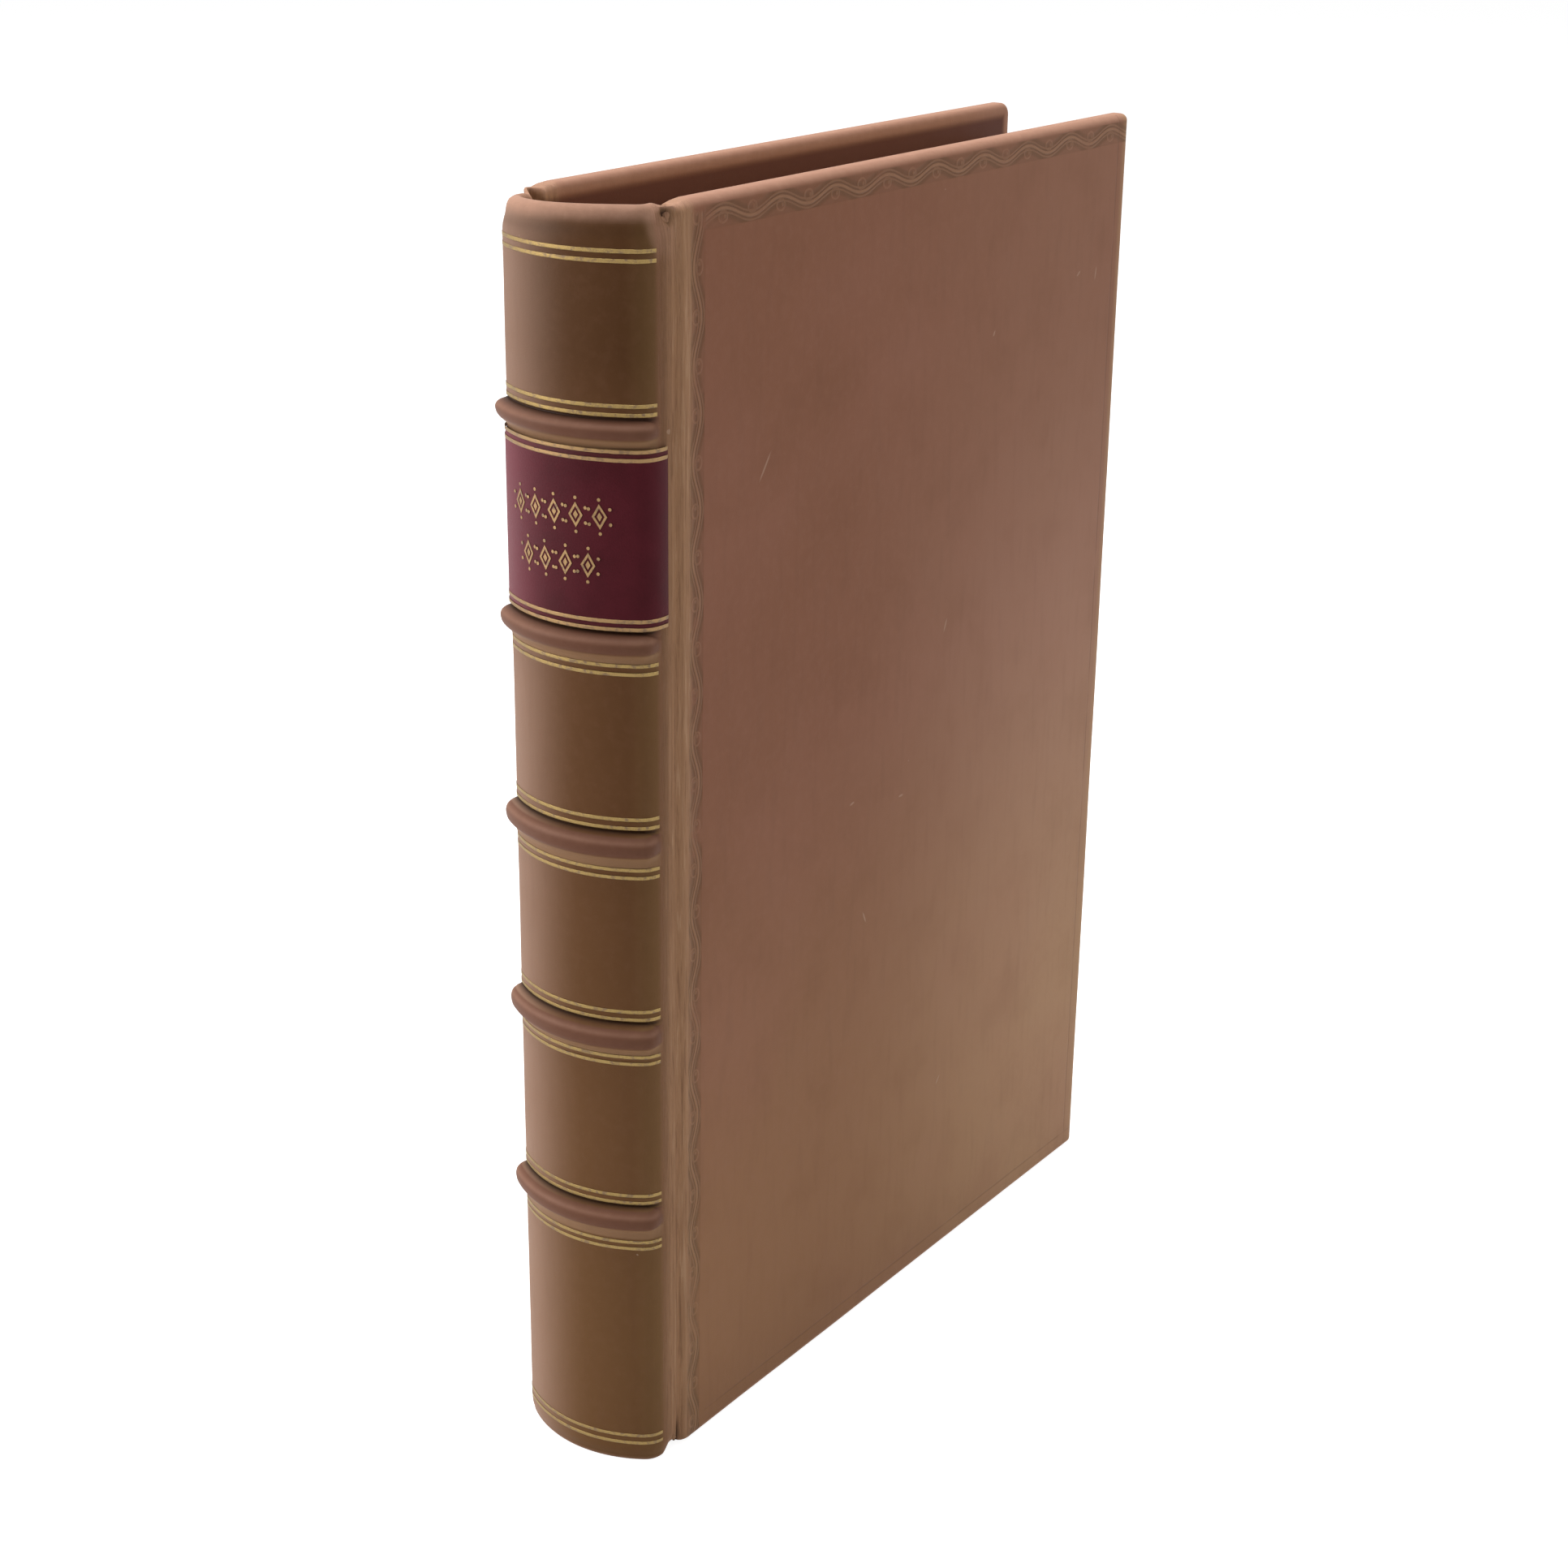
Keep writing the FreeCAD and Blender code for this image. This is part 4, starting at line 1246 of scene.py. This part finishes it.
def winding_tree():
    """Loops of silk along the base line, every other one marked for the second silk, on a plain core."""
    g, given = new_tree("windings", Pitch="Float", Thread="Float", Wide="Float", Tall="Float")
    line = g.node("GeometryNodeMeshToCurve", None, {"Mesh": given["Geometry"]})
    line = g.node("GeometryNodeSetCurveNormal", {"mode": "Z_UP"}, {"Curve": line})
    spaced = g.node("GeometryNodeResampleCurve", {"mode": "LENGTH"}, {"Curve": line, "Length": given["Pitch"]})

    def section(share):
        inputs = {"Width": given["Wide"] * share, "Height": given["Tall"] * share}
        box = g.node("GeometryNodeCurvePrimitiveQuadrilateral", None, inputs)
        round_off = {"Curve": box, "Radius": given["Wide"] * 0.45, "Count": 4, "Limit Radius": True}
        return g.node("GeometryNodeFilletCurve", {"mode": "POLY"}, round_off)

    thread = g.node("GeometryNodeCurvePrimitiveCircle", None, {"Resolution": 6, "Radius": given["Thread"]})
    loop = g.node("GeometryNodeCurveToMesh", None, {"Curve": section(1.0), "Profile Curve": thread})
    across = upright_towards(g, g.node("GeometryNodeInputTangent"))
    placed = {"Points": spaced, "Instance": loop, "Rotation": across}
    placed = g.node("GeometryNodeInstanceOnPoints", None, placed)
    second = g.node("GeometryNodeInputIndex").modulo(2.0)
    mark = {"Geometry": placed, "Name": "second_silk", "Value": second}
    marked = g.node("GeometryNodeStoreNamedAttribute", {"data_type": "FLOAT", "domain": "INSTANCE"}, mark)
    core = {"Curve": line, "Profile Curve": section(0.95), "Fill Caps": True}
    core = g.node("GeometryNodeCurveToMesh", None, core)
    return finish_tree(g, g.node("GeometryNodeJoinGeometry", None, {"Geometry": [core, marked]}), silk)


windings = winding_tree()
endbands = []
for node in ("head_endband", "tail_endband"):
    low, high = box_mm(node)
    line = on_spine(around, -(wall + 0.45 + endband_width / 2), (low[2] + high[2]) / 2)
    line = line[np.abs(line[:, 1]) < high[1] - 0.35]
    wound = grow(node + "_silk", lines_mesh(node + "_line", [line]), windings, {
        "Pitch": thread_pitch * MM, "Thread": thread_radius * MM,
        "Wide": (endband_width - 2 * thread_radius) * MM, "Tall": (high[2] - low[2] - 2 * thread_radius) * MM,
    }, silk)
    wound.data.shade_smooth()
    wound.data.set_sharp_from_angle(angle=math.radians(50.0))
    endbands.append(wound)

# %% [markdown]
# ## The book in its studio
#
# The finishes go on, the pieces of the back are told that they move with the book block, and the
# skins of the covers take the place of the CAD leather, which is hidden.

# %% Finishes and bodies
for piece, material in (
    (spine_skin, calf), (front_skin, calf), (rear_skin, calf), (label, label_skin), (leaves, leaf_edges),
):
    piece.data.materials.append(material)
for name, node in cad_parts.items():
    kind = name.replace("front_", "").replace("rear_", "").rstrip("_0123456789")
    if kind in node_finishes:
        node.data.materials.clear()
        node.data.materials.append(node_finishes[kind])

for piece in (spine_skin, label, leaves, fillets, ornaments, *endbands):
    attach(piece, "book_block")
for piece, node in zip(endbands, ("head_endband", "tail_endband")):
    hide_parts(node)
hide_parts("spine_leather")
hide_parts("title_label")
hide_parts("text_block")
for piece, side, word in ((front_skin, -1, "front"), (rear_skin, 1, "rear")):
    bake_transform(piece)
    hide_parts(word + "_cover_leather")

# %% [markdown]
# ## Light and camera
#
# The book stands on a pale floor in soft studio light. A broad lamp hangs overhead, a second fills
# from the camera's right and a third, from behind on the left, gives the round of the spine its
# bright edge. Floor and world are white to the camera and in reflections, and the floor still takes
# the book's shadow.

# %% Floor, lamps and world
WHITE = (1.0, 1.0, 1.0)


def white_when_seen(g, plain, white, output):
    """Ends a tree: white to the rays of camera, gloss and glass, and plain to all others."""
    seen = g.node("ShaderNodeLightPath")
    rays = seen.socket.node.outputs
    for kind in ("Is Glossy Ray", "Is Transmission Ray"):
        seen = seen.at_least(Value(g, rays[kind]))
    both = g.node("ShaderNodeMixShader", None, {0: seen, 1: plain, 2: white})
    g.tree.links.new(both.socket, g.tree.nodes.new(output).inputs[0])


def plain_floor(reach=4.0):
    mesh = bpy.data.meshes.new("floor")
    corners = [(-reach, -reach, 0), (reach, -reach, 0), (reach, reach, 0), (-reach, reach, 0)]
    mesh.from_pydata(corners, [], [(0, 1, 2, 3)])
    material = bpy.data.materials.new("floor")
    material.use_nodes = True
    g = Graph(material.node_tree)
    diffuse = g.node("ShaderNodeBsdfDiffuse", None, {"Color": (0.8, 0.8, 0.8)})
    shaded = g.node("ShaderNodeBsdfDiffuse", None, {"Color": (0.45, 0.45, 0.45)})
    glow = g.node("ShaderNodeEmission", None, {"Color": WHITE, "Strength": 0.9})
    white = g.node("ShaderNodeAddShader", None, {0: shaded, 1: glow})
    white_when_seen(g, diffuse, white, "ShaderNodeOutputMaterial")
    mesh.materials.append(material)
    add_object("floor", mesh)


def soft_lamp(name, place, aim, wide, tall, power):
    data = bpy.data.lights.new(name, "AREA")
    data.shape = "RECTANGLE"
    data.size, data.size_y, data.energy = wide, tall, power
    lamp = add_object(name, data)
    lamp.location = place
    lamp.rotation_mode = "QUATERNION"
    lamp.rotation_quaternion = (Vector(aim) - Vector(place)).to_track_quat("-Z", "Y")


def white_world():
    """Soft light from all round, and plain white where it is seen."""
    world = bpy.data.worlds.new("studio")
    bpy.context.scene.world = world
    world.use_nodes = True
    g = Graph(world.node_tree)
    soft, white = (g.node("ShaderNodeBackground", None, {"Color": WHITE, "Strength": s}) for s in (0.17, 1.0))
    white_when_seen(g, soft, white, "ShaderNodeOutputWorld")


plain_floor()
soft_lamp("overhead", (0.1, 0.2, 1.4), (0.0, 0.0, 0.1), 1.2, 1.2, 24.0)
soft_lamp("fill", (0.6, -1.5, 0.8), (0.0, 0.0, 0.1), 1.2, 1.2, 8.0)
soft_lamp("edge", (-1.05, 1.05, 0.5), (-0.05, 0.0, 0.12), 0.8, 1.2, 20.0)
white_world()
print("studio lit")

# %% The camera
azimuth, elevation, roll = (math.radians(a) for a in (-54.89, 21.054, 0.726))
level_reach = math.cos(elevation)
back_way = Vector((math.sin(azimuth) * level_reach, -math.cos(azimuth) * level_reach, math.sin(elevation)))
right_way = (-back_way).cross(Vector((0, 0, 1))).normalized()
up_way = right_way.cross(-back_way)
camera_right = right_way * math.cos(roll) + up_way * math.sin(roll)
camera_up = up_way * math.cos(roll) - right_way * math.sin(roll)
camera_data = bpy.data.cameras.new("camera")
camera_data.lens = 61.1
camera_data.sensor_width = 36.0
camera = add_object("camera", camera_data)
camera.matrix_world = Matrix((camera_right, camera_up, back_way)).transposed().to_4x4()
camera.location = (-0.3961, -0.2693, 0.292)
bpy.context.scene.camera = camera
bpy.context.scene.view_settings.view_transform = "Standard"
print(f"camera at {[round(v, 3) for v in camera.location]}")

# %% Bring the scene up to date
bpy.context.view_layer.update()
